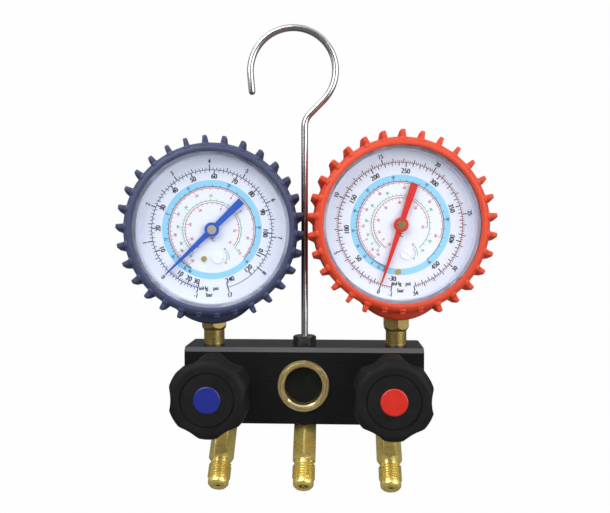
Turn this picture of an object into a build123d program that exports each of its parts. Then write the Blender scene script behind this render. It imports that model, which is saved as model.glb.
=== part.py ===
from build123d import *
import os
from math import atan2, cos, degrees, hypot, radians, sin

# Two-valve refrigerant manifold gauge set. Millimetres, +X to the right, +Y to the back, +Z up.
# Everything is laid out about the plane of the hanging rod and the gauge stems (y = 0), with
# z = 0 at the middle of the block. save() then puts the origin at the centre of the block's
# back face. A clock angle is measured from the top, clockwise as seen from the front.

# ---------------------------------------------------------------- clearances
RUNNING = 0.06          # radial, shaft in a plain hole
SEATED = 0.02           # radial, pieces screwed or pressed together
LOOSE = 0.3             # between parts that must never rub
SEAL_GAP = 0.05         # radial, packing around a turning stem

# ---------------------------------------------------------------- manifold block
BLOCK_W = 119.0
BLOCK_D = 28.0
BLOCK_H = 38.0
BLOCK_BEVEL = 2.3       # along the top front edge
BLOCK_EDGE = 0.5
VALVE_X = 42.3          # valves, each side of the middle
GAUGE_X = 46.8          # gauge stems, each side of the middle
GALLERY_Y = 6.5
GALLERY_R = 2.0
PASSAGE_R = 1.5
PLUG_R = 3.4
PLUG_L = 4.0

# ---------------------------------------------------------------- hose ports
PORT_X = {"low": -40.4, "centre": 0.6, "high": 42.3}
PORT_TILT = 45.0        # from straight down towards the front
PORT_SEAT = (3.0, -14.0)    # y and z of the spot face that each fitting seats on
PORT_POCKET_R = 6.7
PORT_HEX_AF = 11.0
PORT_HEX_L = 31.4
PORT_HEX_BEVEL = (1.3, 1.6)     # across and along, on the hexagon's outer end
PORT_NECK_R = 4.8
PORT_NECK_L = 2.0
PORT_THREAD_R = 5.556   # 7/16-20 UNF
PORT_THREAD_L = 7.6
PORT_NOSE_R = 5.0
PORT_NOSE_L = 3.6
PORT_NOSE_TIP_R = 3.9
PORT_BORE_R = 1.3
PORT_CORE_R = 2.35      # bore of the centre port, for its valve core
PORT_CORE_L = 9.0
PORT_CORE_SET = 0.7
PORT_STUB_R = 4.9
PORT_STUB_L = 7.0
CORE_PIN_R = 0.7
CORE_BRIDGE = 0.8

# ---------------------------------------------------------------- hand valves
KNOB_R = 19.0
KNOB_LOBES = 6
KNOB_SCALLOP_DEPTH = 2.2
KNOB_VALLEY_R = KNOB_R - KNOB_SCALLOP_DEPTH
KNOB_SCALLOP_R = 15.0
KNOB_DEPTH = 18.0
KNOB_FACE_R = KNOB_R - 4.0
KNOB_SHOULDER = 4.4     # depth over which the front edge rounds away
KNOB_LOBE_FILLET = 2.5
KNOB_GROOVE_R = 12.3
KNOB_GROOVE_W = 0.7
KNOB_GROOVE_DEPTH = 0.5
KNOB_WALL = 2.6
KNOB_HUB_R = 7.0
KNOB_BACK_DEPTH = 10.5  # the hollow in the knob's back
KNOB_OFF = 14.0         # closed knob's back from the block's face
CAP_R = 6.2
CAP_T = 1.3
CAP_PROUD = 0.35
STEM_R = 3.0
STEM_TIP_R = 2.0
STEM_TIP_L = 4.0
SCREW_R = 1.6
SCREW_HEAD_R = 3.1
SCREW_HEAD_L = 2.2
SCREW_L = 9.0
BONNET_THREAD_R = 8.0
BONNET_THREAD_L = 5.5
BONNET_AF = 17.0
BONNET_HEX_L = 5.5
BONNET_NECK_R = 5.2
BONNET_NECK_L = 5.0
GLAND_AF = 13.0
GLAND_L = 6.5
PACKING_W = 1.4
PACKING_L = 1.6
PISTON_L = 7.0
CHAMBER_R = 6.1
SEAT_Y = 2.5            # floor of the valve chamber
SEAT_R = 1.8

# ---------------------------------------------------------------- sight glass
SIGHT_R = 12.9
SIGHT_BORE_R = 9.5
SIGHT_PROUD = 1.2
SIGHT_RING_L = 7.0
SIGHT_GROOVE = 0.6
SIGHT_NOTCH = (2.2, 1.2)    # width and depth of the two spanner notches
SIGHT_NOTCH_CLOCK = 55.0
SIGHT_LENS_T = 1.8
SIGHT_CHAMBER_L = 2.5

# ---------------------------------------------------------------- hanging hook
ROD_R = 1.75
HOOK_R = 21.7           # centre line of the hook
HOOK_X = -6.0
HOOK_Z = 158.4
HOOK_LEAVE = -45.0      # where the hook's round leaves for the rod
HOOK_LEAN = 5.0         # the straight end leans in by this
HOOK_DROP = 8.5         # length of the straight end on the open side
HOOK_BEND_R = 9.0
NUT_AF = 12.0
NUT_H = 4.3
NUT_THREAD_R = 4.5
NUT_THREAD_L = 5.0
ROD_FLANGE_R = 3.2
ROD_FLANGE_L = 2.0
ROD_WELL = 0.8          # room below and above the rod's flange

# ---------------------------------------------------------------- gauges, seen from their centres
GAUGE_Z = 77.5          # pointer axis above the middle of the block
CASE_R = 39.6
CASE_WALL = 0.9
CASE_BACK = 10.0
LENS_FRONT = -18.6
LENS_T = 2.0
LENS_RIM_W = 2.2
LENS_RIM_H = 0.8
DIAL_FRONT = -12.6
DIAL_T = 0.6
DIAL_RING_WALL = 1.1    # of the ring, outside the dial's edge
DIAL_R = CASE_R - CASE_WALL - DIAL_RING_WALL
DIAL_HOLE_R = 2.0
DIAL_RING_BACK = -11.2
DIAL_GRIP = 0.8         # how far the ring overlaps the dial's edge
DIAL_SCREW_R = 1.4
DIAL_SCREW_HEAD = 0.6
DIAL_SCREW_SHANK_R = 0.8
DIAL_SPACER_R = 1.5
ADJUSTER_R = 2.65
ADJUSTER_PLACE = (2.7, -14.1)
ADJUSTER_SHANK_R = 1.1
ADJUSTER_SLOT = 0.6

BOOT_WALL = 2.9
BOOT_R = CASE_R + BOOT_WALL
BOOT_FRONT = -22.0
BOOT_BACK = 12.4
BOOT_GRIP = 1.4         # how far the lip overlaps the case's edge
BOOT_LIP_R = CASE_R - BOOT_GRIP
BOOT_BEVEL = 3.6        # depth of the ring's front bevel, and its width
BOOT_BEVEL_W = 2.3
BOOT_NOSE_R = BOOT_R - BOOT_BEVEL_W
BOOT_FLANGE = 7.6       # how far the back laps over the case
BOOT_WINDOW_R = CASE_R - BOOT_FLANGE
FIN_COUNT = 30
FIN_T = 2.0
FIN_H = 3.5
FIN_TIP_R = BOOT_R + FIN_H
FIN_LEN = 10.5
FIN_ROOT_T = 3.0
FIN_STUBS = 18.0        # fins nearer than this to the stem are only ribs on the bevel
FIN_STUB_H = 0.7
FIN_STUB_R = BOOT_R + FIN_STUB_H
CHIN_R = 25.5           # the swelling around the stem
CHIN_PROUD = 4.7        # how far it hangs below the ring
CHIN_Z = CHIN_R - BOOT_R - CHIN_PROUD
CHIN_TOP = -10.0
CHIN_BEVEL = 4.0
CHIN_FRONT = -15.0

HEX_AF = 12.0
HEX_BOTTOM = 25.9       # above the middle of the block
HEX_BEVEL = 2.6
HEX_ROOM = 0.4
STEM_THREAD_R = 5.15    # 1/8 inch taper thread
STEM_THREAD_L = 9.0     # in the block
STEM_BORE_R = 1.6
NECK_R = 6.0
SHOULDER = -CASE_R - 1.6
SOCKET_W = 14.0
SOCKET_H = 18.4
SOCKET_ROOM = 2.2       # between the case's outside and the socket's block
SOCKET_BOTTOM = SOCKET_ROOM - CASE_R
SOCKET_TOP = SOCKET_BOTTOM + SOCKET_H
SOCKET_FRONT = -4.5
CASE_SCREW_Z = (SOCKET_BOTTOM + 15.4, SOCKET_BOTTOM + 8.9)
CASE_SCREW_R = 1.5
CASE_SCREW_HEAD_R = 2.8
CASE_SCREW_HEAD_L = 1.6
CASE_SCREW_L = 5.0

TUBE_R = 27.0           # centre line of the C-shaped pressure tube
TUBE_W = 8.0
TUBE_T = 2.6
TUBE_WALL = 0.45
TUBE_FROM = 170.0       # clock angle inside the socket
TUBE_TURN = 252.0       # the tube runs round anticlockwise from there
TIP_L = 5.0             # arc length of the closing piece

PLATE_T = 1.0
PLATE_GAP = 4.1
PLATE_W = 30.0
PLATE_TOP = 6.5
PLATE_BOTTOM = -27.0
PLATE_CORNER = 4.0
PLATE_FOOT_W = 12.0
PLATE_FOOT = SOCKET_BOTTOM + 4.9
PILLARS = ((-12.4, 3.6), (12.4, 3.6), (-12.4, -24.2), (12.4, -24.2))
PILLAR_R = 1.4
FRAME_SCREW_PLACES = ((-3.6, SOCKET_BOTTOM + 7.8), (3.6, SOCKET_BOTTOM + 7.8))
FRAME_SCREW_R = 0.9
FRAME_SCREW_HEAD_R = 1.7
FRAME_SCREW_HEAD_L = 1.3
FRAME_SCREW_L = 4.0

MODULE = 0.35
PINION_TEETH = 10
SECTOR_TEETH = 80       # of a full circle
SECTOR_FIRST = -2       # first and last tooth kept, counted clockwise from the pinion
SECTOR_LAST = 10
ADDENDUM = 0.30
DEDENDUM = 0.40
TOOTH_ROOT_W = 0.50
TOOTH_TIP_W = 0.26
SECTOR_T = 1.2
SECTOR_BACK = -7.0
SECTOR_RIM = 2.6
SECTOR_SPOKE = 2.2
TAIL_CLOCK = -100.0
TAIL_L = 9.5
TAIL_W = 2.6
ARBOR_R = 0.9
PIVOT_R = 0.55
FRONT_PIVOT_R = 0.7
PINION_L = 2.0
COLLET_R = 1.3
LINK_T = 0.6
LINK_W = 2.2
LINK_BACK = -5.9
LINK_HOLE_R = 0.6
LINK_ANCHOR = (-21.0, -1.5)
LUG_T = 1.2
SPRING_R = 6.0
SPRING_IN_R = 1.8
SPRING_STEPS = 8        # half turns
SPRING_W = 0.5
SPRING_T = 0.2
SPRING_BACK = -5.85
SPRING_STUD_R = 0.6

POINTER_BACK = -13.8
POINTER_T = 0.8
POINTER_HUB_R = 3.6
POINTER_HUB_L = 1.6
POINTER_BUSH_R = 2.2
POINTER_BUSH_PROUD = 0.2
POINTER_TIP_W = 0.7
POINTER_ROOT_W = 3.0
POINTER_TAIL_ROOT_W = 2.4
POINTER_TAIL_W = 3.8

# The two gauges differ in where they stand and how they are turned, in their scales' zero, in
# how far the pointer's tip stays inside the dial's edge, and in where the dial's screw is:
# (distance from the centre, clock angle).
GAUGES = {
    "low": dict(side=-1, rise=0.0, turn=6.0, zero=-134.1, margin=6.8, tail=20.4,
                screw=(15.0, -164.5), fin_clock=-3.7),
    "high": dict(side=1, rise=2.3, turn=4.0, zero=-161.8, margin=7.8, tail=21.0,
                 screw=(23.0, -177.3), fin_clock=-1.3),
}

# ---------------------------------------------------------------- what follows from those
BLOCK_FACE = -BLOCK_D / 2
BLOCK_TOP = BLOCK_H / 2
PORT_AXIS = (0.0, -sin(radians(PORT_TILT)), -cos(radians(PORT_TILT)))
KNOB_BACK = BLOCK_FACE - KNOB_OFF
KNOB_FRONT = KNOB_BACK - KNOB_DEPTH
BONNET_END = BLOCK_FACE + BONNET_THREAD_L
PISTON_BACK = SEAT_Y - LOOSE / 3
PISTON_FRONT = PISTON_BACK - PISTON_L
PISTON_R = CHAMBER_R - RUNNING
SIGHT_INNER = BLOCK_FACE - SIGHT_PROUD + SIGHT_RING_L
SIGHT_FLOOR = SIGHT_INNER + SIGHT_LENS_T
NUT_END = BLOCK_TOP - NUT_THREAD_L
PLATE_BACK = SOCKET_FRONT
FRONT_PLATE_BACK = PLATE_BACK - PLATE_T - PLATE_GAP
FRONT_PLATE_FRONT = FRONT_PLATE_BACK - PLATE_T
DIAL_BACK = DIAL_FRONT + DIAL_T
CASE_FRONT = LENS_FRONT + LENS_T
PINION_R = MODULE * PINION_TEETH / 2
SECTOR_R = MODULE * SECTOR_TEETH / 2
ARBOR_DROP = PINION_R + SECTOR_R
SECTOR_STEP = 360 / SECTOR_TEETH


# ---------------------------------------------------------------- helpers
def save(name, shape, recentre=(0, 0, 0)):
    """Writes one node, with the origin at the centre of the block's back face."""
    export_step(Pos(0, BLOCK_FACE, 0) * Pos(*recentre) * shape, f"parts/{name}.step")


def bar(radius, start, end):
    """A round bar between two points."""
    along = Vector(*end) - Vector(*start)
    return Plane(origin=start, z_dir=along) * Cylinder(
        radius, along.length, align=(Align.CENTER, Align.CENTER, Align.MIN))


def bar_y(radius, y0, y1, x=0.0, z=0.0):
    return bar(radius, (x, y0, z), (x, y1, z))


def bar_z(radius, z0, z1, x=0.0, y=0.0):
    return bar(radius, (x, y, z0), (x, y, z1))


def turned(*outline):
    """A turned piece about the Y axis. The outline's points are (radius, y)."""
    return revolve(make_face(Polyline(*outline, close=True)), Axis.Y)


def turned_up(*outline):
    """A turned piece about the Z axis. The outline's points are (radius, z)."""
    return revolve(make_face(Plane.XZ * Polyline(*outline, close=True)), Axis.Z)


def plate(outline, back, thickness):
    """A flat piece from an outline in x and z, with its back face at the depth given."""
    return Pos(0, back, 0) * extrude(Plane.XZ * outline, amount=thickness)


def clock(radius, angle):
    """The x and z of a point at a distance and a clock angle."""
    return (radius * sin(radians(angle)), radius * cos(radians(angle)))


def about_y(shape, angle):
    """Turns a shape by a clock angle about the Y axis."""
    return Rot(0, angle, 0) * shape


def hexagon(across_flats):
    return RegularPolygon(across_flats / 2, 6, major_radius=False)


def slab(x0, x1, y0, y1, z0, z1):
    return Pos((x0 + x1) / 2, (y0 + y1) / 2, (z0 + z1) / 2) * Box(x1 - x0, y1 - y0, z1 - z0)


def port_point(x, distance):
    """A point on a hose port's axis, the distance out from its seat."""
    return (x, PORT_SEAT[0] + PORT_AXIS[1] * distance, PORT_SEAT[1] + PORT_AXIS[2] * distance)


def on_port(x, shape):
    """Moves a piece turned about +Z onto a hose port's axis, with z = 0 at its seat."""
    return Plane(origin=port_point(x, 0), x_dir=(1, 0, 0), z_dir=PORT_AXIS) * shape


# ---------------------------------------------------------------- the block and what screws into it
def valve_bores(x, port_x):
    """One valve's bore, chamber, seat and passages."""
    cut = bar_y(BONNET_THREAD_R + SEATED, BLOCK_FACE, BONNET_END, x)
    cut += bar_y(CHAMBER_R, BONNET_END, SEAT_Y, x)
    cut += bar_y(SEAT_R, SEAT_Y, GALLERY_Y, x)
    cut += bar(PASSAGE_R, port_point(port_x, -PORT_STUB_L), (x, 0, -CHAMBER_R / 2))
    return cut


def port_bores(x):
    """The slanted spot face and tapped hole of one hose port."""
    inner = port_point(x, -PORT_STUB_L)
    return bar(PORT_STUB_R + SEATED, inner, port_point(x, 0)) + bar(
        PORT_POCKET_R, port_point(x, 0), port_point(x, PORT_HEX_L))


def manifold_block():
    block = Box(BLOCK_W, BLOCK_D, BLOCK_H)
    lengthways = block.edges().filter_by(Axis.X)
    front_top = lengthways.group_by(Axis.Z)[-1].sort_by(Axis.Y)[0]
    block = chamfer(front_top, BLOCK_BEVEL)
    uprights = block.edges().filter_by(Axis.Z)
    block = chamfer(uprights, BLOCK_EDGE)
    for side, port in ((-1, "low"), (1, "high")):
        block -= valve_bores(side * VALVE_X, PORT_X[port]) + port_bores(PORT_X[port])
        stem_x = side * GAUGE_X
        block -= bar_z(STEM_THREAD_R + SEATED, BLOCK_TOP - STEM_THREAD_L, BLOCK_TOP, stem_x)
        block -= bar_z(STEM_BORE_R, 0, BLOCK_TOP - STEM_THREAD_L, stem_x)
    block -= port_bores(PORT_X["centre"])
    block -= bar(PASSAGE_R, port_point(PORT_X["centre"], -PORT_STUB_L), (0, GALLERY_Y, 0))
    block -= bar_y(SIGHT_R, BLOCK_FACE, SIGHT_FLOOR)
    block -= bar_y(SIGHT_BORE_R, SIGHT_FLOOR, SIGHT_FLOOR + SIGHT_CHAMBER_L)
    block -= bar_y(PASSAGE_R, SIGHT_FLOOR, GALLERY_Y)
    block -= bar(GALLERY_R, (-BLOCK_W / 2, GALLERY_Y, 0), (VALVE_X, GALLERY_Y, 0))
    block -= bar(PLUG_R, (-BLOCK_W / 2, GALLERY_Y, 0), (-BLOCK_W / 2 + PLUG_L, GALLERY_Y, 0))
    well = NUT_END - ROD_FLANGE_L - 2 * ROD_WELL
    block -= bar_z(NUT_THREAD_R + SEATED, well, BLOCK_TOP)
    return block


def gallery_plug():
    end = -BLOCK_W / 2
    return bar(PLUG_R - SEATED, (end, GALLERY_Y, 0), (end + PLUG_L, GALLERY_Y, 0))


def port_fitting(x, bore_r, bore_l):
    """A flare fitting: hexagon body, thread, conical nose and the tapped stub in the block."""
    thread_from = PORT_HEX_L + PORT_NECK_L
    thread_to = thread_from + PORT_THREAD_L
    end = thread_to + PORT_NOSE_L
    lead = PORT_THREAD_R - PORT_NOSE_R
    body = extrude(Rot(0, 0, 30) * hexagon(PORT_HEX_AF), amount=PORT_HEX_L)
    corner_r = PORT_HEX_AF / 2 / cos(radians(30))
    across, along = PORT_HEX_BEVEL
    body &= turned_up((0, 0), (corner_r, 0), (corner_r, PORT_HEX_L - along),
                      (corner_r - across, PORT_HEX_L), (0, PORT_HEX_L))
    body += turned_up((0, PORT_HEX_L), (PORT_NECK_R, PORT_HEX_L), (PORT_NECK_R, thread_from),
                      (PORT_THREAD_R, thread_from), (PORT_THREAD_R, thread_to),
                      (PORT_THREAD_R - lead, thread_to + lead), (PORT_NOSE_R, end - 1.2),
                      (PORT_NOSE_TIP_R, end), (0, end))
    body += bar_z(PORT_STUB_R, -PORT_STUB_L, 0)
    body -= bar_z(PORT_BORE_R, -PORT_STUB_L, end)
    body -= bar_z(bore_r, end - bore_l, end)
    return on_port(x, body)


def port_core():
    """The spring valve core in the centre port: a bridge with the pin through it."""
    end = PORT_HEX_L + PORT_NECK_L + PORT_THREAD_L + PORT_NOSE_L - PORT_CORE_SET
    core = bar_z(PORT_CORE_R - SEATED, end - PORT_CORE_L + 1, end - 3)
    core += bar_z(CORE_PIN_R, end - 3, end)
    bridge = slab(-PORT_CORE_R, PORT_CORE_R, -CORE_BRIDGE, CORE_BRIDGE, end - 3, end - 1.2)
    return on_port(PORT_X["centre"], core + (bridge & bar_z(PORT_CORE_R - SEATED, end - 3, end)))


def sight_glass_ring():
    """The screwed bezel: ridged front, plain bore and two spanner notches."""
    front = BLOCK_FACE - SIGHT_PROUD
    width = SIGHT_R - SIGHT_BORE_R
    outer = SIGHT_R - SEATED
    mid = SIGHT_BORE_R + width / 2
    ring = turned((SIGHT_BORE_R, SIGHT_INNER), (outer, SIGHT_INNER), (outer, front + SIGHT_GROOVE),
                  (outer - 0.5, front), (mid + 0.5, front), (mid + 0.1, front + SIGHT_GROOVE),
                  (mid - 0.3, front), (SIGHT_BORE_R + 0.7, front), (SIGHT_BORE_R, front + 0.7))
    width, depth = SIGHT_NOTCH
    notch = slab(-width / 2, width / 2, front, front + depth, SIGHT_BORE_R - 1, mid + 0.3)
    for angle in (SIGHT_NOTCH_CLOCK, SIGHT_NOTCH_CLOCK + 180):
        ring -= about_y(notch, angle)
    return ring


def sight_glass_lens():
    return bar_y(SIGHT_R - SEATED, SIGHT_INNER, SIGHT_INNER + SIGHT_LENS_T)


def hook_nut():
    """The gland nut that the hook's rod turns in."""
    corner_r = NUT_AF / 2 / cos(radians(30))
    top = BLOCK_TOP + NUT_H
    nut = Pos(0, 0, BLOCK_TOP) * extrude(Rot(0, 0, 30) * hexagon(NUT_AF), amount=NUT_H)
    nut &= turned_up((0, BLOCK_TOP), (corner_r, BLOCK_TOP), (corner_r, top - 0.8),
                     (corner_r - 1.4, top), (0, top))
    nut += bar_z(NUT_THREAD_R, NUT_END, BLOCK_TOP)
    return nut - bar_z(ROD_R + RUNNING, NUT_END, top)


def hook():
    """One bent wire: rod, gooseneck, round and straight end, with the flange under its nut."""
    leave = radians(HOOK_LEAVE)
    joint = (HOOK_X + HOOK_R * cos(leave), HOOK_Z + HOOK_R * sin(leave))
    knee_z = joint[1] - joint[0]
    foot = NUT_END - ROD_WELL - ROD_FLANGE_L
    low = Plane.XZ * FilletPolyline((0, foot), (0, knee_z), joint, radius=HOOK_BEND_R)
    arc = Plane.XZ * CenterArc((HOOK_X, HOOK_Z), HOOK_R, HOOK_LEAVE, 180 + HOOK_LEAN - HOOK_LEAVE)
    lean = radians(HOOK_LEAN)
    start = (HOOK_X - HOOK_R * cos(lean), 0, HOOK_Z - HOOK_R * sin(lean))
    end = (start[0] + HOOK_DROP * sin(lean), 0, start[2] - HOOK_DROP * cos(lean))
    drop = Line(start, end)
    path = Wire(low.edges() + arc.edges() + drop.edges())
    wire = sweep(Pos(0, 0, foot) * Circle(ROD_R), path=path)
    wire += Pos(*end) * Sphere(ROD_R)
    return wire + bar_z(ROD_FLANGE_R, foot, foot + ROD_FLANGE_L)


# ---------------------------------------------------------------- one hand valve, on the Y axis
def bonnet():
    """Screws into the block and carries the stem and its packing."""
    hex_front = BLOCK_FACE - BONNET_HEX_L
    neck_front = hex_front - BONNET_NECK_L
    body = bar_y(BONNET_THREAD_R, BONNET_END, BLOCK_FACE)
    body += plate(hexagon(BONNET_AF), BLOCK_FACE, BONNET_HEX_L)
    corner_r = BONNET_AF / 2 / cos(radians(30))
    body &= turned((0, BONNET_END), (corner_r, BONNET_END), (corner_r, hex_front + 0.8),
                   (corner_r - 1.4, hex_front), (0, hex_front))
    body += bar_y(BONNET_NECK_R, hex_front, neck_front)
    body -= bar_y(STEM_R + RUNNING, BONNET_END, neck_front)
    return body - bar_y(STEM_R + PACKING_W, neck_front + PACKING_L, neck_front)


def gland_nut():
    """The cap on the bonnet's neck that presses the packing."""
    back = BLOCK_FACE - BONNET_HEX_L - LOOSE
    front = back - GLAND_L
    nut = plate(hexagon(GLAND_AF), back, GLAND_L)
    neck_front = BLOCK_FACE - BONNET_HEX_L - BONNET_NECK_L
    nut -= bar_y(BONNET_NECK_R + SEATED, back, neck_front)
    return nut - bar_y(STEM_R + RUNNING, neck_front, front)


def packing():
    front = BLOCK_FACE - BONNET_HEX_L - BONNET_NECK_L
    inner, outer = STEM_R + SEAL_GAP, STEM_R + PACKING_W - SEATED
    return turned((inner, front), (outer, front), (outer, front + PACKING_L),
                  (inner, front + PACKING_L))


def valve_piston():
    """Slides without turning. The stem's tip turns in its socket."""
    body = bar_y(PISTON_R, PISTON_FRONT, PISTON_BACK)
    return body - bar_y(STEM_TIP_R + RUNNING, PISTON_FRONT, PISTON_FRONT + STEM_TIP_L + LOOSE)


def stem_front():
    return KNOB_FRONT + CAP_T + LOOSE + SCREW_HEAD_L


def valve_stem():
    stem = bar_y(STEM_R, PISTON_FRONT - LOOSE / 3, stem_front())
    stem += bar_y(STEM_TIP_R, PISTON_FRONT + STEM_TIP_L, PISTON_FRONT - LOOSE / 3)
    return stem - bar_y(SCREW_R + SEATED, stem_front() + SCREW_L, stem_front())


def knob_screw():
    screw = bar_y(SCREW_R, stem_front() + SCREW_L, stem_front())
    head = bar_y(SCREW_HEAD_R, stem_front(), stem_front() - SCREW_HEAD_L)
    cross = slab(-1.6, 1.6, stem_front() - SCREW_HEAD_L, stem_front() - SCREW_HEAD_L + 1, -0.4, 0.4)
    return screw + (head - cross - about_y(cross, 90))


def knob():
    """The six-lobed hand wheel, hollow behind, with a ring groove and a disc seat in front."""
    outline = Circle(KNOB_R)
    scallop = Pos(0, KNOB_VALLEY_R + KNOB_SCALLOP_R) * Circle(KNOB_SCALLOP_R)
    for lobe in range(KNOB_LOBES):
        outline -= Rot(0, 0, (lobe + 0.5) * 360 / KNOB_LOBES) * scallop
    outline = fillet(outline.vertices(), KNOB_LOBE_FILLET)
    body = plate(outline, KNOB_BACK, KNOB_DEPTH)
    shoulder = KNOB_FRONT + KNOB_SHOULDER
    dome = revolve(make_face(
        Polyline((KNOB_FACE_R, KNOB_FRONT), (0, KNOB_FRONT), (0, KNOB_BACK), (KNOB_R - 0.8, KNOB_BACK),
                 (KNOB_R, KNOB_BACK - 0.8), (KNOB_R, shoulder))
        + ThreePointArc((KNOB_R, shoulder), (KNOB_R - 1.1, shoulder - 3.0),
                        (KNOB_FACE_R, KNOB_FRONT))), Axis.Y)
    body &= dome
    hollow_r = KNOB_VALLEY_R - KNOB_WALL
    back = bar_y(hollow_r, KNOB_BACK, KNOB_BACK - KNOB_BACK_DEPTH)
    body -= back - bar_y(KNOB_HUB_R, KNOB_BACK, KNOB_BACK - KNOB_BACK_DEPTH)
    groove_in, groove_out = KNOB_GROOVE_R - KNOB_GROOVE_W / 2, KNOB_GROOVE_R + KNOB_GROOVE_W / 2
    body -= turned((groove_in, KNOB_FRONT), (groove_out, KNOB_FRONT),
                   (groove_out, KNOB_FRONT + KNOB_GROOVE_DEPTH),
                   (groove_in, KNOB_FRONT + KNOB_GROOVE_DEPTH))
    body -= bar_y(STEM_R + SEATED, KNOB_BACK, stem_front())
    body -= bar_y(CAP_R + 2 * SEATED, KNOB_FRONT, KNOB_FRONT + CAP_T)
    return body - bar_y(SCREW_HEAD_R + LOOSE, KNOB_FRONT + CAP_T, stem_front())


def knob_cap():
    """The coloured disc that snaps into the knob over its screw."""
    front = KNOB_FRONT - CAP_PROUD
    return turned((0, KNOB_FRONT + CAP_T), (CAP_R, KNOB_FRONT + CAP_T), (CAP_R, front + 0.3),
                  (CAP_R - 0.5, front), (0, front))


# ---------------------------------------------------------------- one gauge, about its pointer's axis
def gauge_boot(gauge):
    """The rubber bumper: a ringed cup with fins and a chin around the stem."""
    inner = CASE_R + LOOSE / 2
    back_wall = CASE_BACK + LOOSE / 2
    lip = LENS_FRONT - LENS_RIM_H - SEATED
    cup = turned((inner, back_wall), (inner, lip), (BOOT_LIP_R, lip), (BOOT_LIP_R, BOOT_FRONT + 0.8),
                 (BOOT_LIP_R + 0.7, BOOT_FRONT), (BOOT_NOSE_R, BOOT_FRONT),
                 (BOOT_R - 0.8, BOOT_FRONT + BOOT_BEVEL * 0.6), (BOOT_R, BOOT_FRONT + BOOT_BEVEL),
                 (BOOT_R, BOOT_BACK - 1.5), (BOOT_R - 1.5, BOOT_BACK), (BOOT_WINDOW_R, BOOT_BACK),
                 (BOOT_WINDOW_R, back_wall))
    chin = Pos(0, CHIN_Z) * Circle(CHIN_R)
    chin &= Pos(0, -BOOT_R) * Rectangle(2 * CHIN_R, 2 * (BOOT_R + CHIN_TOP))
    chin = plate(chin, BOOT_BACK - 1.5, BOOT_BACK - 1.5 - CHIN_FRONT)
    chin = chamfer(chin.faces().sort_by(Axis.Y)[0].edges().sort_by(Axis.Z)[0], CHIN_BEVEL)
    cup += chin - bar_y(inner, lip, back_wall) - bar_y(BOOT_R - 1.5, back_wall, BOOT_BACK)
    fin_root = BOOT_R - 1.0
    fin = make_face(Polyline(
        (BOOT_NOSE_R, BOOT_FRONT + 1.2), (FIN_TIP_R - 0.9, BOOT_FRONT + 2.0),
        (FIN_TIP_R, BOOT_FRONT + 3.2), (FIN_TIP_R, BOOT_FRONT + FIN_LEN - 2.5),
        (fin_root, BOOT_FRONT + FIN_LEN + 1.0), (fin_root, BOOT_FRONT + BOOT_BEVEL),
        close=True))
    taper = make_face(Polyline(
        (BOOT_LIP_R, -FIN_ROOT_T / 2), (BOOT_LIP_R, FIN_ROOT_T / 2),
        (FIN_TIP_R, FIN_T / 2), (FIN_TIP_R, -FIN_T / 2), close=True))
    fin = extrude(fin, amount=FIN_ROOT_T / 2, both=True)
    fin &= plate(taper, BOOT_BACK, BOOT_BACK - BOOT_FRONT)
    stub = fin & bar_y(FIN_STUB_R, BOOT_FRONT, BOOT_BACK)
    step = 360 / FIN_COUNT
    for i in range(FIN_COUNT):
        angle = gauge["fin_clock"] + step * i
        cup += about_y(stub if abs(angle - 180) < FIN_STUBS else fin, angle - 90)
    hex_r = HEX_AF / 2 / cos(radians(30)) + HEX_ROOM
    return cup - bar_z(hex_r, CHIN_Z - CHIN_R - 1, -CASE_R + 3)


def gauge_case():
    """A drawn steel cup, open in front, with the holes for the stem and the two case screws."""
    cup = turned((0, CASE_BACK), (CASE_R, CASE_BACK), (CASE_R, CASE_FRONT),
                 (CASE_R - CASE_WALL, CASE_FRONT), (CASE_R - CASE_WALL, CASE_BACK - CASE_WALL),
                 (0, CASE_BACK - CASE_WALL))
    cup -= bar_z(NECK_R + SEATED, -CASE_R - 1, -CASE_R + 3)
    for z in CASE_SCREW_Z:
        cup -= bar_y(CASE_SCREW_R + SEATED, CASE_BACK - CASE_WALL, CASE_BACK, 0, z)
    return cup


def gauge_lens():
    """The clear window with a raised rim under the boot's lip."""
    edge = CASE_R - SEATED
    rim = LENS_FRONT - LENS_RIM_H
    return turned((0, LENS_FRONT), (edge - LENS_RIM_W - 0.5, LENS_FRONT), (edge - LENS_RIM_W, rim),
                  (edge, rim), (edge, CASE_FRONT), (0, CASE_FRONT))


def dial_ring():
    """The white ring between lens and dial, with the groove that grips the dial's edge."""
    outer = CASE_R - CASE_WALL - SEATED
    inner = DIAL_R - DIAL_GRIP
    groove = DIAL_R + SEATED
    return turned((inner, CASE_FRONT), (outer, CASE_FRONT), (outer, DIAL_RING_BACK),
                  (inner, DIAL_RING_BACK), (inner, DIAL_BACK), (groove, DIAL_BACK),
                  (groove, DIAL_FRONT), (inner - 0.3, DIAL_FRONT))


def dial(gauge):
    disc = bar_y(DIAL_R, DIAL_FRONT, DIAL_BACK)
    disc -= bar_y(DIAL_HOLE_R, DIAL_FRONT, DIAL_BACK)
    disc -= bar_y(ADJUSTER_SHANK_R + SEATED, DIAL_FRONT, DIAL_BACK, *ADJUSTER_PLACE)
    return disc - bar_y(DIAL_SCREW_SHANK_R + SEATED, DIAL_FRONT, DIAL_BACK, *clock(*gauge["screw"]))


def dial_screw(gauge):
    """The brass screw and its spacer that hold the dial off the movement."""
    x, z = clock(*gauge["screw"])
    screw = bar_y(DIAL_SCREW_R, DIAL_FRONT - DIAL_SCREW_HEAD, DIAL_FRONT, x, z)
    screw += bar_y(DIAL_SCREW_SHANK_R, DIAL_FRONT, FRONT_PLATE_BACK, x, z)
    return screw + bar_y(DIAL_SPACER_R, DIAL_BACK, FRONT_PLATE_FRONT, x, z)


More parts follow.
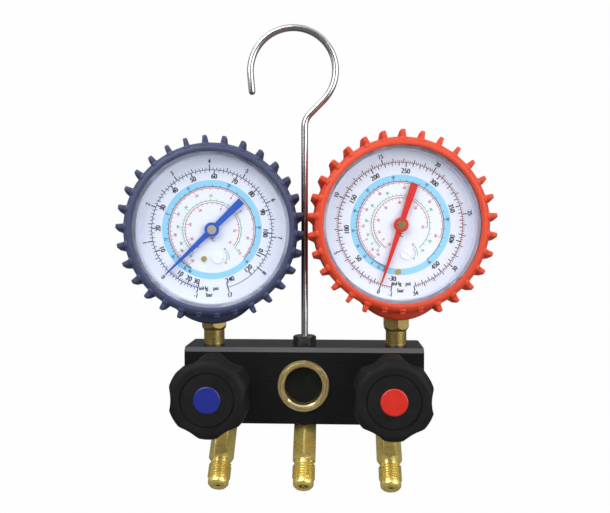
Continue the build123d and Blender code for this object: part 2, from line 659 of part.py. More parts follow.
def adjuster():
    """The slotted white plug that sets the zero."""
    x, z = ADJUSTER_PLACE
    front = DIAL_FRONT - 0.8
    plug = bar_y(ADJUSTER_R, front, DIAL_FRONT, x, z)
    plug += bar_y(ADJUSTER_SHANK_R, DIAL_FRONT, FRONT_PLATE_BACK, x, z)
    slot = slab(-ADJUSTER_R, ADJUSTER_R, front, front + 0.5, -ADJUSTER_SLOT / 2, ADJUSTER_SLOT / 2)
    return plug - Pos(x, 0, z) * about_y(slot, 35)


def arc_solid(section, radius, start, turn):
    """Sweeps a section, drawn in radius and depth, round the Y axis between clock angles."""
    solid = revolve(Pos(radius, 0) * section, Axis.Y, revolution_arc=turn)
    return about_y(solid, start - 90)


def tube_section(inset=0.0):
    return RectangleRounded(TUBE_T - 2 * inset, TUBE_W - 2 * inset, TUBE_T / 2 - inset - 0.01)


def tube_start():
    return TUBE_FROM - TUBE_TURN


def pressure_tube():
    """The C-shaped elastic tube, open only where it is soldered into the socket."""
    outside = arc_solid(tube_section(), TUBE_R, tube_start(), TUBE_TURN)
    return outside - arc_solid(tube_section(TUBE_WALL), TUBE_R, tube_start(), TUBE_TURN)


def tip_clock():
    return tube_start() - degrees(TIP_L / TUBE_R)


def tube_tip():
    """Closes the tube's free end and carries the link on its lug."""
    cap = arc_solid(tube_section(), TUBE_R, tip_clock(), tube_start() - tip_clock())
    x, z = LINK_ANCHOR
    cap_x, cap_z = clock(TUBE_R, tip_clock() + 4)
    lug = strap((cap_x, cap_z), (x, z), TUBE_T)
    front = -TUBE_W / 2
    return cap + plate(lug, front, LUG_T) + bar_y(PIVOT_R, front - LUG_T, LINK_BACK - LINK_T - 0.2, x, z)


def strap(start, end, width):
    """An outline with round ends between two points."""
    dx, dz = end[0] - start[0], end[1] - start[1]
    middle = Pos((start[0] + end[0]) / 2, (start[1] + end[1]) / 2)
    return middle * Rot(0, 0, degrees(atan2(dz, dx))) * SlotCenterToCenter(hypot(dx, dz), width)


def socket(gauge):
    """The brass stem: thread, wrench hexagon, neck and the block that carries the works."""
    rise = GAUGE_Z + gauge["rise"]
    hex_bottom = HEX_BOTTOM - rise
    thread_bottom = BLOCK_TOP - STEM_THREAD_L - rise
    corner_r = HEX_AF / 2 / cos(radians(30))
    stem = Pos(0, 0, hex_bottom) * extrude(Rot(0, 0, 30) * hexagon(HEX_AF), amount=SHOULDER - hex_bottom)
    stem &= turned_up((0, hex_bottom), (STEM_THREAD_R, hex_bottom), (corner_r, hex_bottom + HEX_BEVEL),
                      (corner_r, SHOULDER), (0, SHOULDER))
    stem += bar_z(STEM_THREAD_R, thread_bottom, hex_bottom)
    stem += bar_z(NECK_R, SHOULDER, SOCKET_BOTTOM)
    back = CASE_BACK - CASE_WALL
    stem += slab(-SOCKET_W / 2, SOCKET_W / 2, SOCKET_FRONT, back, SOCKET_BOTTOM, SOCKET_TOP)
    stem -= arc_solid(tube_section(), TUBE_R, tube_start(), TUBE_TURN)
    inlet = -TUBE_R * cos(radians(180 - TUBE_FROM))
    stem -= bar_z(STEM_BORE_R, thread_bottom, inlet)
    end_x = TUBE_R * sin(radians(180 - TUBE_FROM))
    stem -= bar(TUBE_T / 2 - TUBE_WALL, (0, 0, inlet), (end_x, 0, inlet))
    for z in CASE_SCREW_Z:
        stem -= bar_y(CASE_SCREW_R + SEATED, back, CASE_BACK - CASE_SCREW_L, 0, z)
    for x, z in FRAME_SCREW_PLACES:
        stem -= bar_y(FRAME_SCREW_R + SEATED, SOCKET_FRONT, SOCKET_FRONT + FRAME_SCREW_L - PLATE_T, x, z)
    return stem


def case_screws():
    """The two screws through the case's back into the socket."""
    return [bar_y(CASE_SCREW_R, CASE_BACK - CASE_SCREW_L, CASE_BACK, 0, z)
            + (bar_y(CASE_SCREW_HEAD_R, CASE_BACK, CASE_BACK + CASE_SCREW_HEAD_L, 0, z)
               - slab(-CASE_SCREW_HEAD_R, CASE_SCREW_HEAD_R, CASE_BACK + CASE_SCREW_HEAD_L - 0.8,
                      CASE_BACK + CASE_SCREW_HEAD_L, z - 0.4, z + 0.4))
            for z in CASE_SCREW_Z]


def frame_screws():
    """The two screws that hold the movement to the socket."""
    head = PLATE_BACK - PLATE_T
    return [bar_y(FRAME_SCREW_R, head + FRAME_SCREW_L, head, x, z)
            + bar_y(FRAME_SCREW_HEAD_R, head, head - FRAME_SCREW_HEAD_L, x, z)
            for x, z in FRAME_SCREW_PLACES]


def plate_outline():
    height = PLATE_TOP - PLATE_BOTTOM
    outline = Pos(0, (PLATE_TOP + PLATE_BOTTOM) / 2) * RectangleRounded(PLATE_W, height, PLATE_CORNER)
    for side in (-1, 1):
        outline -= Pos(side * (PLATE_W / 2 + 4), (PLATE_TOP + PLATE_BOTTOM) / 2) * Circle(8.0)
    return outline


def movement_frame():
    """The two brass plates and four pillars that hold the gears, and the hairspring's stud."""
    foot_h = -ARBOR_DROP - PLATE_FOOT
    foot = Pos(0, PLATE_FOOT + foot_h / 2) * RectangleRounded(PLATE_FOOT_W, foot_h, 1.5)
    back = plate(plate_outline() + foot, PLATE_BACK, PLATE_T)
    front = plate(plate_outline(), FRONT_PLATE_BACK, PLATE_T)
    for x, z in FRAME_SCREW_PLACES:
        back -= bar_y(FRAME_SCREW_R + SEATED, PLATE_BACK, PLATE_BACK - PLATE_T, x, z)
    for x, z in ((0, 0), (0, -ARBOR_DROP)):
        back -= bar_y(PIVOT_R + RUNNING, PLATE_BACK, PLATE_BACK - PLATE_T, x, z)
    front -= bar_y(FRONT_PIVOT_R + RUNNING, FRONT_PLATE_BACK, FRONT_PLATE_FRONT)
    front -= bar_y(PIVOT_R + RUNNING, FRONT_PLATE_BACK, FRONT_PLATE_FRONT, 0, -ARBOR_DROP)
    front -= bar_y(ADJUSTER_SHANK_R + SEATED, FRONT_PLATE_BACK, FRONT_PLATE_FRONT, *ADJUSTER_PLACE)
    for x, z in PILLARS:
        back += bar_y(PILLAR_R, PLATE_BACK - PLATE_T, FRONT_PLATE_BACK, x, z)
    end = spring_end_x()
    stud = bar_y(SPRING_STUD_R, PLATE_BACK - PLATE_T, SPRING_BACK - SPRING_W, end)
    slot = SPRING_T / 2 + SEATED
    back += stud - slab(end - slot, end + slot, SPRING_BACK - SPRING_W, SPRING_BACK, -SPRING_STUD_R, 0)
    return back + front


def toothed(teeth, pitch_r):
    """Trapezoid gear teeth, as outlines at the clock angles given."""
    tooth = make_face(Polyline(
        (-TOOTH_ROOT_W / 2, pitch_r - DEDENDUM - 0.1), (-TOOTH_TIP_W / 2, pitch_r + ADDENDUM),
        (TOOTH_TIP_W / 2, pitch_r + ADDENDUM), (TOOTH_ROOT_W / 2, pitch_r - DEDENDUM - 0.1),
        close=True))
    return [Rot(0, 0, -angle) * tooth for angle in teeth]


def pinion():
    """The pointer's arbor with its pinion, the hairspring's collet and the pointer's bush."""
    step = 360 / PINION_TEETH
    back = SECTOR_BACK + 0.4
    wheel = Circle(PINION_R - DEDENDUM) + toothed(
        [180 + (i + 0.5) * step for i in range(PINION_TEETH)], PINION_R)
    arbor = plate(wheel, back, PINION_L)
    inside = PLATE_BACK - PLATE_T - 0.1
    arbor += bar_y(PIVOT_R, PLATE_BACK - 0.1, inside)
    arbor += bar_y(ARBOR_R, inside, FRONT_PLATE_BACK + 0.1)
    arbor += bar_y(COLLET_R, inside, SPRING_BACK - SPRING_W)
    bush_front = POINTER_BACK - POINTER_HUB_L - POINTER_BUSH_PROUD
    arbor += bar_y(FRONT_PIVOT_R, FRONT_PLATE_BACK + 0.1, POINTER_BACK)
    return arbor + bar_y(POINTER_BUSH_R, POINTER_BACK, bush_front)


def sector_gear():
    """The toothed sector on its arbor, with the tail that the link drives."""
    root_r = SECTOR_R - DEDENDUM
    first, last = (SECTOR_FIRST - 0.8) * SECTOR_STEP, (SECTOR_LAST + 0.8) * SECTOR_STEP
    wedge = make_face(Polyline((0, 0), clock(3 * SECTOR_R, first), clock(3 * SECTOR_R, last),
                               close=True))
    rim = (Circle(root_r) - Circle(root_r - SECTOR_RIM)) & wedge
    outline = rim + Circle(TAIL_W)
    for angle in (first + 6, last - 6):
        outline += strap((0, 0), clock(root_r - SECTOR_RIM / 2, angle), SECTOR_SPOKE)
    outline += strap((0, 0), clock(TAIL_L, TAIL_CLOCK), TAIL_W)
    outline -= Pos(*clock(TAIL_L, TAIL_CLOCK)) * Circle(LINK_HOLE_R)
    outline += toothed([i * SECTOR_STEP for i in range(SECTOR_FIRST, SECTOR_LAST + 1)], SECTOR_R)
    gear = plate(outline, SECTOR_BACK, SECTOR_T)
    inside, outside = PLATE_BACK - PLATE_T - 0.1, FRONT_PLATE_BACK + 0.1
    gear += bar_y(ARBOR_R, inside, outside)
    gear += bar_y(PIVOT_R, PLATE_BACK - 0.1, FRONT_PLATE_FRONT + 0.1)
    return Pos(0, 0, -ARBOR_DROP) * gear


def link():
    """Joins the tube's lug to the sector's tail. Its pin stops short of the tail."""
    tail_x, tail_z = clock(TAIL_L, TAIL_CLOCK)
    end = (tail_x, tail_z - ARBOR_DROP)
    bar_part = plate(strap(LINK_ANCHOR, end, LINK_W), LINK_BACK, LINK_T)
    bar_part -= bar_y(PIVOT_R + RUNNING, LINK_BACK, LINK_BACK - LINK_T, *LINK_ANCHOR)
    front = LINK_BACK - LINK_T
    return bar_part + bar_y(PIVOT_R, front, SECTOR_BACK + LOOSE, *end)


def spring_step():
    return (SPRING_R - SPRING_IN_R) / SPRING_STEPS


def spring_end_x():
    """Where the last half turn of the hairspring ends, on the x axis."""
    return SPRING_R if SPRING_STEPS % 2 == 0 else -SPRING_R


def hairspring():
    """A flat spiral of half turns whose radius grows by one step each."""
    x = SPRING_IN_R
    strips = []
    for i in range(SPRING_STEPS):
        outward = 1 if i % 2 == 0 else -1
        reach = SPRING_IN_R + spring_step() * (i + 1)
        centre = (x - outward * reach) / 2
        radius = abs(x - centre)
        ring = Circle(radius + SPRING_T / 2) - Circle(radius - SPRING_T / 2)
        half = Pos(0, outward * SPRING_R) * Rectangle(4 * SPRING_R, 2 * SPRING_R)
        strips.append((Pos(centre, 0) * ring) & half)
        x = -outward * reach
    outline = strips[0]
    for strip in strips[1:]:
        outline += strip
    return plate(outline, SPRING_BACK, SPRING_W)


def pointer(gauge):
    """The needle with its flared tail, on the bush of the pinion's arbor."""
    tip = DIAL_R - gauge["margin"]
    needle = make_face(Polyline(
        (-POINTER_ROOT_W / 2, 0), (-POINTER_TIP_W / 2, tip),
        (POINTER_TIP_W / 2, tip), (POINTER_ROOT_W / 2, 0), close=True))
    tail = make_face(Polyline(
        (-POINTER_TAIL_ROOT_W / 2, 0), (-POINTER_TAIL_W / 2, -gauge["tail"]),
        (POINTER_TAIL_W / 2, -gauge["tail"]), (POINTER_TAIL_ROOT_W / 2, 0), close=True))
    body = plate(needle + tail + Circle(POINTER_HUB_R), POINTER_BACK, POINTER_T)
    body += bar_y(POINTER_HUB_R, POINTER_BACK, POINTER_BACK - POINTER_HUB_L)
    body -= bar_y(POINTER_BUSH_R + SEATED, POINTER_BACK, POINTER_BACK - POINTER_HUB_L)
    return about_y(body, gauge["zero"])


# ---------------------------------------------------------------- build
def on_gauge(gauge, pieces):
    """Stands a gauge's pieces on its stem, turned as it is screwed in."""
    place = Location((gauge["side"] * GAUGE_X, 0, GAUGE_Z + gauge["rise"]), (0, 0, gauge["turn"]))
    if isinstance(pieces, list):
        return Compound([place * piece.solid() for piece in pieces])
    return place * pieces


def save_gauge(name, gauge):
    """Writes the pieces of one gauge."""
    pieces = {
        "boot": gauge_boot(gauge), "case": gauge_case(), "lens": gauge_lens(),
        "dial_ring": dial_ring(), "dial": dial(gauge), "dial_screw": dial_screw(gauge),
        "adjuster": adjuster(), "socket": socket(gauge), "pressure_tube": pressure_tube(),
        "tube_tip": tube_tip(), "screws": case_screws() + frame_screws(),
        "movement_frame": cleared_frame(gauge), "pinion": pinion(),
        "sector_gear": sector_gear(), "link": link(), "hairspring": hairspring(),
        "pointer": pointer(gauge),
    }
    for piece, shape in pieces.items():
        save(f"{name}_gauge_{piece}", on_gauge(gauge, shape))


def cleared_frame(gauge):
    """The movement's frame, drilled for the dial's screw."""
    x, z = clock(*gauge["screw"])
    return movement_frame() - bar_y(DIAL_SCREW_SHANK_R + SEATED, FRONT_PLATE_BACK,
                                    FRONT_PLATE_FRONT, x, z)


def save_valve(name, x):
    """Writes the pieces of one hand valve."""
    pieces = {
        "bonnet": bonnet(), "gland_nut": gland_nut(), "packing": packing(),
        "valve_piston": valve_piston(), "valve_stem": valve_stem(),
        "knob": knob(), "knob_cap": knob_cap(), "knob_screw": knob_screw(),
    }
    for piece, shape in pieces.items():
        save(f"{name}_{piece}", shape, recentre=(x, 0, 0))


os.makedirs("parts", exist_ok=True)
save("manifold_block", manifold_block())
save("gallery_plug", gallery_plug())
save("sight_glass_ring", sight_glass_ring())
save("sight_glass_lens", sight_glass_lens())
save("hook_nut", hook_nut())
save("hook", hook())
save("centre_port", port_fitting(PORT_X["centre"], PORT_CORE_R, PORT_CORE_L))
save("centre_port_core", port_core())
for name, gauge in GAUGES.items():
    save(f"{name}_port", port_fitting(PORT_X[name], PORT_BORE_R, 1.0))
    save_valve(name, gauge["side"] * VALVE_X)
    save_gauge(name, gauge)
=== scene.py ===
from math import atan2, cos, hypot, pi, radians, sin, tan

import bmesh
import bpy
from mathutils import Matrix, Vector


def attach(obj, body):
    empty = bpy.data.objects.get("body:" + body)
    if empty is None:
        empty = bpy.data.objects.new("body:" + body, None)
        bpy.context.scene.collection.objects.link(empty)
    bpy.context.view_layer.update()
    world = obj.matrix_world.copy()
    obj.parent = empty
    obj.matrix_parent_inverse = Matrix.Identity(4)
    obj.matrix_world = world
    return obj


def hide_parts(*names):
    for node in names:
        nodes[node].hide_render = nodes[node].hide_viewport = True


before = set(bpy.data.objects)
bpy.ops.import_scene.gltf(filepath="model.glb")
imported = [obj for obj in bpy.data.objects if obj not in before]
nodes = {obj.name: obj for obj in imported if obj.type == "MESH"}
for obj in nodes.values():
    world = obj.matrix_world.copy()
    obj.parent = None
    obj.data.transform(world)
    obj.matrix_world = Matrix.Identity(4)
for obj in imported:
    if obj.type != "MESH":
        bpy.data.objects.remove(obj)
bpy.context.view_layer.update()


# ---- Manifold block -------------------------------------------------------------------------
# A milled bar of aluminium with every passage drilled from outside. It is brushed along its
# length and anodised black, so the streaks still show. Its top front edge is painted lighter
# grey: a painted highlight where that edge catches the light from above.
MM = 0.001
STREAK_SIZE = (12 * MM, 0.35 * MM, 0.35 * MM)
CLOUD_SIZE = (14 * MM, 9 * MM, 9 * MM)
EDGE_HEIGHT, EDGE_DEPTH = 16.8 * MM, 25.8 * MM


class Level:
    """A socket of a finish. Arithmetic on it adds a Math node for each operator."""

    def __init__(self, finish, socket):
        self.finish, self.socket = finish, socket

    def maths(self, operation, first, second):
        return self.finish.node("ShaderNodeMath", {"operation": operation}, {0: first, 1: second})

    def __add__(self, other):
        return self.maths("ADD", self, other)

    def __radd__(self, other):
        return self.maths("ADD", other, self)

    def __sub__(self, other):
        return self.maths("SUBTRACT", self, other)

    def __rsub__(self, other):
        return self.maths("SUBTRACT", other, self)

    def __mul__(self, other):
        return self.maths("MULTIPLY", self, other)

    def __rmul__(self, other):
        return self.maths("MULTIPLY", other, self)

    def above(self, limit):
        return self.maths("GREATER_THAN", self, limit)


class Finish:
    """A material in the making: constants go on its Principled shader, nodes come from node()."""

    def __init__(self, name, colour, roughness, metallic=0.0, **constants):
        self.material = bpy.data.materials.new(name)
        self.material.use_nodes = True
        self.tree = self.material.node_tree
        self.shader = self.tree.nodes["Principled BSDF"]
        self.set("Base Color", (*colour, 1.0))
        self.set("Roughness", roughness)
        self.set("Metallic", metallic)
        for socket, value in constants.items():
            self.set(socket.replace("_", " "), value)

    def plug(self, socket, value):
        if isinstance(value, Level):
            self.tree.links.new(value.socket, socket)
        else:
            socket.default_value = value

    def set(self, socket, value):
        self.plug(self.shader.inputs[socket], value)

    def node(self, kind, settings, inputs, output=0):
        made = self.tree.nodes.new(kind)
        for key, value in settings.items():
            setattr(made, key, value)
        for key, value in inputs.items():
            self.plug(made.inputs[key], value)
        return Level(self, made.outputs[output])

    def place(self, centre=(0, 0, 0), size=(1, 1, 1), turn=(0, 0, 0)):
        """Object coordinates, measured from a centre in units of the size given."""
        where = self.node("ShaderNodeTexCoord", {}, {}, "Object")
        return self.node("ShaderNodeMapping", {"vector_type": "TEXTURE"}, {
            "Vector": where, "Location": centre, "Rotation": turn, "Scale": size})

    def noise(self, where, detail=3.0):
        return self.node("ShaderNodeTexNoise", {}, {
            "Vector": where, "Scale": 1.0, "Detail": detail})

    def mix(self, amount, first, second):
        return self.node("ShaderNodeMix", {"data_type": "RGBA"}, {
            0: amount, 6: (*first, 1.0), 7: (*second, 1.0)}, 2)

    def bump(self, height, depth):
        """Raises the surface by up to a depth in metres."""
        self.set("Normal", self.node("ShaderNodeBump", {}, {
            "Strength": 1.0, "Distance": depth, "Height": height}))


def dress(finish, *names):
    """Gives CAD nodes a finish."""
    for name in names:
        node = nodes[name]
        node.data.materials.clear()
        node.data.materials.append(finish.material)
        for face in node.data.polygons:
            face.material_index = 0


black_anodised = Finish("black_anodised", (0.006, 0.006, 0.006), 0.36, Specular_IOR_Level=0.12)
streaks = black_anodised.noise(black_anodised.place(size=STREAK_SIZE), 4.0)
clouds = black_anodised.noise(black_anodised.place(size=CLOUD_SIZE), 2.0)
where = black_anodised.place()
height = black_anodised.node("ShaderNodeSeparateXYZ", {}, {"Vector": where}, "Z")
depth = black_anodised.node("ShaderNodeSeparateXYZ", {}, {"Vector": where}, "Y")
# The band along the top front edge is a painted highlight: lighter grey where the edge catches the
# light above.
chamfer_highlight = height.above(EDGE_HEIGHT) * (0 - depth).above(EDGE_DEPTH)
black_anodised.set("Base Color", black_anodised.mix(
    streaks * 0.06 + clouds * 0.03 + chamfer_highlight * 0.9,
    (0.004, 0.004, 0.004), (0.090, 0.092, 0.098)))
black_anodised.set("Roughness", 0.18 + streaks * 0.16 + clouds * 0.08)
black_anodised.bump(streaks, 0.015 * MM)
dress(black_anodised, "manifold_block")


# ---- Gallery plug ---------------------------------------------------------------------------
# A bright steel plug pressed into the left end of the long drilling that joins the two valves.
# It is driven in once for good, and its face is a little dulled.
plug_steel = Finish("plug_steel", (0.46, 0.46, 0.47), 0.32, 1.0)
dulling = plug_steel.noise(plug_steel.place(size=(0.8 * MM,) * 3))
plug_steel.set("Roughness", 0.24 + dulling * 0.2)
dress(plug_steel, "gallery_plug")


# ---- Sight glass ----------------------------------------------------------------------------
# A thick window at the bottom of a bore, held by a turned brass bezel with two spanner notches.
# The bore behind it is dark, and fine tool rings run round the brass.
FACING = (radians(90), 0, 0)
PATCH_SIZE = (3.5 * MM,) * 3
TOOL_RING_SIZE = (4 * MM, 4 * MM, 0.28 * MM)


def turned_metal(name, colour, dark, centre, turn=(0, 0, 0), roughness=0.2, metallic=1.0):
    """Bright turned metal: tool rings about an axis, with patches of duller metal."""
    finish = Finish(name, colour, roughness, metallic)
    patches = finish.noise(finish.place(centre, PATCH_SIZE), 4.0)
    grain = finish.noise(finish.place(centre, TOOL_RING_SIZE, turn), 2.0)
    finish.set("Base Color", finish.mix(patches, dark, colour))
    finish.set("Roughness", roughness - 0.06 + patches * 0.14 + grain * 0.06)
    finish.bump(grain, 0.012 * MM)
    return finish


pale_brass = turned_metal("pale_brass", (0.90, 0.77, 0.42), (0.66, 0.54, 0.26), (0, -28 * MM, 0),
                          FACING, 0.18, 0.9)
dress(pale_brass, "sight_glass_ring")

sight_glass = Finish("sight_glass", (0.008, 0.009, 0.007), 0.06, Specular_IOR_Level=0.22)
smear = sight_glass.noise(sight_glass.place(size=(6 * MM,) * 3), 3.0)
sight_glass.set("Base Color", sight_glass.mix(smear, (0.003, 0.003, 0.003), (0.015, 0.016, 0.012)))
sight_glass.set("Roughness", 0.05 + smear * 0.12)
dress(sight_glass, "sight_glass_lens")


# ---- Hose ports -----------------------------------------------------------------------------
# Three brass flare fittings that stand out of the block's underside at 45 degrees. Each is a
# hexagon bar turned down to a neck, a 7/16-20 thread and a conical nose, and drilled through.
PORTS = {  # place across the block, bore's radius and floor in mm, hexagon's turn in degrees
    "low_port": (-40.4, 1.3, 30.0, 0),
    "centre_port": (0.6, 2.35, 35.6, 30),
    "high_port": (42.3, 1.3, 30.0, 0),
}
PORT_SEAT_Y, PORT_SEAT_Z = -11.0 * MM, -14.0 * MM
PORT_TILT = radians(135)
PORT_FLAT_TO_FLAT = 11.0 * MM
PORT_HEX_END = 31.4 * MM
PORT_CONE_ACROSS, PORT_CONE_ALONG = 1.3 * MM, 1.6 * MM
PORT_STUB, PORT_STUB_R, PORT_STUB_TOP = 7.0 * MM, 4.9 * MM, 0.2 * MM
NECK_R, NECK_END = 4.8 * MM, 33.4 * MM
THREAD_CREST_R, THREAD_ROOT_R, THREAD_PITCH = 5.54 * MM, 4.70 * MM, 1.27 * MM
THREAD_END, NOSE_END = 41.0 * MM, 44.6 * MM
NOSE_R, NOSE_TIP_R = 5.0 * MM, 3.9 * MM
PROFILE_STEPS, THREAD_STEPS, HEX_POINTS = 64, 28, 72
RIDGE_FOOT, RIDGE_CREST = 0.46, 0.07
CORNER_ROUND = 0.12 * MM


def trace(bm, points, closed=False):
    """Verts at some points, with an edge from each to the next."""
    verts = [bm.verts.new(point) for point in points]
    ends = verts[1:] + (verts[:1] if closed else [])
    return verts, [bm.edges.new(pair) for pair in zip(verts, ends)]


def turn_profile(bm, outline):
    """Spins an outline of (radius, height) points about the Z axis."""
    verts, edges = trace(bm, [(r, 0, z) for r, z in outline])
    bmesh.ops.spin(bm, geom=verts + edges, cent=(0, 0, 0), axis=(0, 0, 1), dvec=(0, 0, 0),
                   angle=2 * pi, steps=PROFILE_STEPS, use_merge=True)


def cut_thread(bm, crest, root, pitch, start, end):
    """Spins one ridge of a thread up a screw line about the Z axis."""
    ridge = ((root, -RIDGE_FOOT), (crest, -RIDGE_CREST), (crest, RIDGE_CREST), (root, RIDGE_FOOT))
    verts, edges = trace(bm, [(r, 0, start + (h + 0.5) * pitch) for r, h in ridge])
    turns = (end - start) / pitch - 1
    count = int(THREAD_STEPS * turns)
    bmesh.ops.spin(bm, geom=verts + edges, cent=(0, 0, 0), axis=(0, 0, 1),
                   dvec=(0, 0, pitch * turns / count), angle=2 * pi * turns, steps=count)


def rim(verts):
    """The edges round a ring of verts."""
    return list({edge for vert in verts for edge in vert.link_edges})


def hexagon_bar(bm, across_flats, start, end, across, along, turn=0.0):
    """A hexagon bar, flats front and back unless turned, with a short cone on its far end."""
    corner = across_flats / 2 / cos(radians(30))
    rings = []
    for part in ("foot", "cone", "face"):
        ring = bmesh.ops.create_circle(bm, segments=HEX_POINTS, radius=corner)["verts"]
        for vert in ring:
            angle = atan2(vert.co.y, vert.co.x)
            off_flat = (angle - turn) % radians(60) - radians(30)
            reach = min(across_flats / 2 / cos(off_flat), corner - CORNER_ROUND)
            height = {"foot": start, "cone": end - (reach - corner + across) * along / across,
                      "face": end}[part]
            if part == "face":
                reach = corner - across
            vert.co = (reach * cos(angle), reach * sin(angle), height)
        rings.append((ring, rim(ring)))
    for (_, near), (_, far) in zip(rings, rings[1:]):
        bmesh.ops.bridge_loops(bm, edges=near + far)
    for ring in (rings[0][0], rings[-1][0]):
        bm.faces.new(ring)


def finished(name, bm, place, finish, body, smooth=35.0):
    """Ends a piece: welds it, sets its place in its mesh, its finish and the body it rides on."""
    bmesh.ops.remove_doubles(bm, verts=bm.verts, dist=0.001 * MM)
    bmesh.ops.transform(bm, matrix=place, verts=bm.verts)
    bmesh.ops.recalc_face_normals(bm, faces=bm.faces)
    mesh = bpy.data.meshes.new(name)
    bm.to_mesh(mesh)
    bm.free()
    mesh.shade_smooth()
    mesh.set_sharp_from_angle(angle=radians(smooth))
    mesh.materials.append(finish.material)
    piece = bpy.data.objects.new(name, mesh)
    bpy.context.scene.collection.objects.link(piece)
    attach(piece, body)
    return piece


def port_place(x):
    """From a port's own axis, +Z outwards from its seat, to its place on the block."""
    return (Matrix.Translation((x, PORT_SEAT_Y, PORT_SEAT_Z))
            @ Matrix.Rotation(PORT_TILT, 4, "X"))


for name, (x, bore, bore_floor, turn) in PORTS.items():
    x, bore, bore_floor = x * MM, bore * MM, bore_floor * MM
    bm = bmesh.new()
    hexagon_bar(bm, PORT_FLAT_TO_FLAT, 0, PORT_HEX_END, PORT_CONE_ACROSS, PORT_CONE_ALONG,
                radians(turn))
    turn_profile(bm, ((0, -PORT_STUB), (PORT_STUB_R, -PORT_STUB), (PORT_STUB_R, PORT_STUB_TOP)))
    turn_profile(bm, (
        (NECK_R, PORT_HEX_END - 0.1 * MM), (NECK_R, NECK_END - 0.5 * MM),
        (THREAD_ROOT_R, NECK_END), (THREAD_ROOT_R, THREAD_END),
        (NOSE_R, THREAD_END + 0.4 * MM), (NOSE_R, NOSE_END - 1.5 * MM),
        (NOSE_R - 0.15 * MM, NOSE_END - 1.0 * MM), (NOSE_TIP_R + 0.4 * MM, NOSE_END - 0.4 * MM),
        (NOSE_TIP_R, NOSE_END),
        (bore + 0.5 * MM, NOSE_END), (bore, NOSE_END - 0.5 * MM), (bore, bore_floor),
        (0, bore_floor)))
    cut_thread(bm, THREAD_CREST_R, THREAD_ROOT_R - 0.02 * MM, THREAD_PITCH, NECK_END - 0.3 * MM,
               THREAD_END + 0.3 * MM)
    port_brass = turned_metal(
        f"{name}_brass", (0.92, 0.76, 0.26), (0.70, 0.54, 0.14), (x, PORT_SEAT_Y, PORT_SEAT_Z),
        (PORT_TILT, 0, 0), 0.24, 0.78)
    piece = finished(f"{name}_fitting", bm, port_place(x), port_brass, "manifold")
    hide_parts(name)
    if name == "centre_port":
        dress(port_brass, "centre_port_core")


# ---- Hook and its nut -----------------------------------------------------------------------
# One bent wire, bright plated, that turns in a small hexagon nut on top of the block. A flange
# under the nut keeps it in.
MIDDLE_Y = -14 * MM
ROD_R, ROD_POINTS = 1.73 * MM, 24
ROD_FOOT = 11.2 * MM
FLANGE_R, FLANGE_TOP = 3.2 * MM, ROD_FOOT + 2.0 * MM
BEND_R, BEND = 9.0 * MM, radians(45)
KNEE_Z = 133.7 * MM - BEND_R * tan(BEND / 2)
HOOK_R = 21.7 * MM
HOOK_CENTRE = Vector((-6.0 * MM, 0, 158.4 * MM))
HOOK_SWEEP = radians(230)
HOOK_DROP, HOOK_LEAN = 8.5 * MM, radians(5)
KNEE_STEPS, HOOK_STEPS, TIP_STEPS = 10, 80, 6
NUT_FLAT_TO_FLAT = 10.5 * MM
NUT_FOOT, NUT_TOP = 14.0 * MM, 23.3 * MM
NUT_CONE_ACROSS, NUT_CONE_ALONG = 0.9 * MM, 0.6 * MM


def last_ring(geometry):
    """The verts and edges of the open ring or line that an extrusion has just made."""
    verts = [v for v in geometry if isinstance(v, bmesh.types.BMVert)]
    edges = [e for e in geometry
             if isinstance(e, bmesh.types.BMEdge) and set(e.verts) <= set(verts)]
    return verts, edges


def grow(bm, ring, step):
    """Extends a tube or a sheet by a straight piece."""
    made = bmesh.ops.extrude_edge_only(bm, edges=ring[1])
    verts, edges = last_ring(made["geom"])
    bmesh.ops.translate(bm, verts=verts, vec=step)
    return verts, edges


def curve(bm, ring, centre, angle, steps):
    """Extends a tube round a bend, clockwise from the front for a positive angle."""
    made = bmesh.ops.spin(bm, geom=ring[0] + ring[1], cent=centre, axis=(0, 1, 0), dvec=(0, 0, 0),
                          angle=angle, steps=steps)
    return last_ring(made["geom_last"])


bm = bmesh.new()
verts = bmesh.ops.create_circle(bm, cap_ends=True, segments=ROD_POINTS, radius=ROD_R,
                                matrix=Matrix.Translation((0, 0, ROD_FOOT)))["verts"]
wire = grow(bm, (verts, rim(verts)), Vector((0, 0, KNEE_Z - ROD_FOOT)))
wire = curve(bm, wire, (BEND_R, 0, KNEE_Z), BEND, KNEE_STEPS)
knee = Vector((BEND_R * (1 - cos(BEND)), 0, KNEE_Z + BEND_R * sin(BEND)))
leave = HOOK_CENTRE + HOOK_R * Vector((cos(BEND), 0, -sin(BEND)))
wire = grow(bm, wire, leave - knee)
wire = curve(bm, wire, HOOK_CENTRE, -HOOK_SWEEP, HOOK_STEPS)
down = Vector((sin(HOOK_LEAN), 0, -cos(HOOK_LEAN)))
wire = grow(bm, wire, down * HOOK_DROP)
middle = sum((v.co for v in wire[0]), Vector()) / len(wire[0])
for i in range(TIP_STEPS):
    before, after = radians(90) * i / TIP_STEPS, radians(90) * (i + 1) / TIP_STEPS
    rise = down * ROD_R * (sin(after) - sin(before))
    wire = grow(bm, wire, rise)
    middle = middle + rise
    bmesh.ops.scale(bm, verts=wire[0], space=Matrix.Translation(-middle),
                    vec=(max(cos(after), 0.0) / cos(before),) * 3)
turn_profile(bm, ((0, ROD_FOOT), (FLANGE_R, ROD_FOOT), (FLANGE_R, FLANGE_TOP), (0, FLANGE_TOP)))
chrome = Finish("chrome", (0.70, 0.70, 0.72), 0.10, 1.0)
wipes = chrome.noise(chrome.place(size=(2.5 * MM, 2.5 * MM, 9 * MM)), 3.0)
chrome.set("Base Color", chrome.mix(wipes, (0.38, 0.38, 0.40), (0.60, 0.60, 0.61)))
chrome.set("Roughness", 0.16 + wipes * 0.12)
hook = finished("bent_hook", bm, Matrix.Translation((0, MIDDLE_Y, 0)), chrome, "hook")
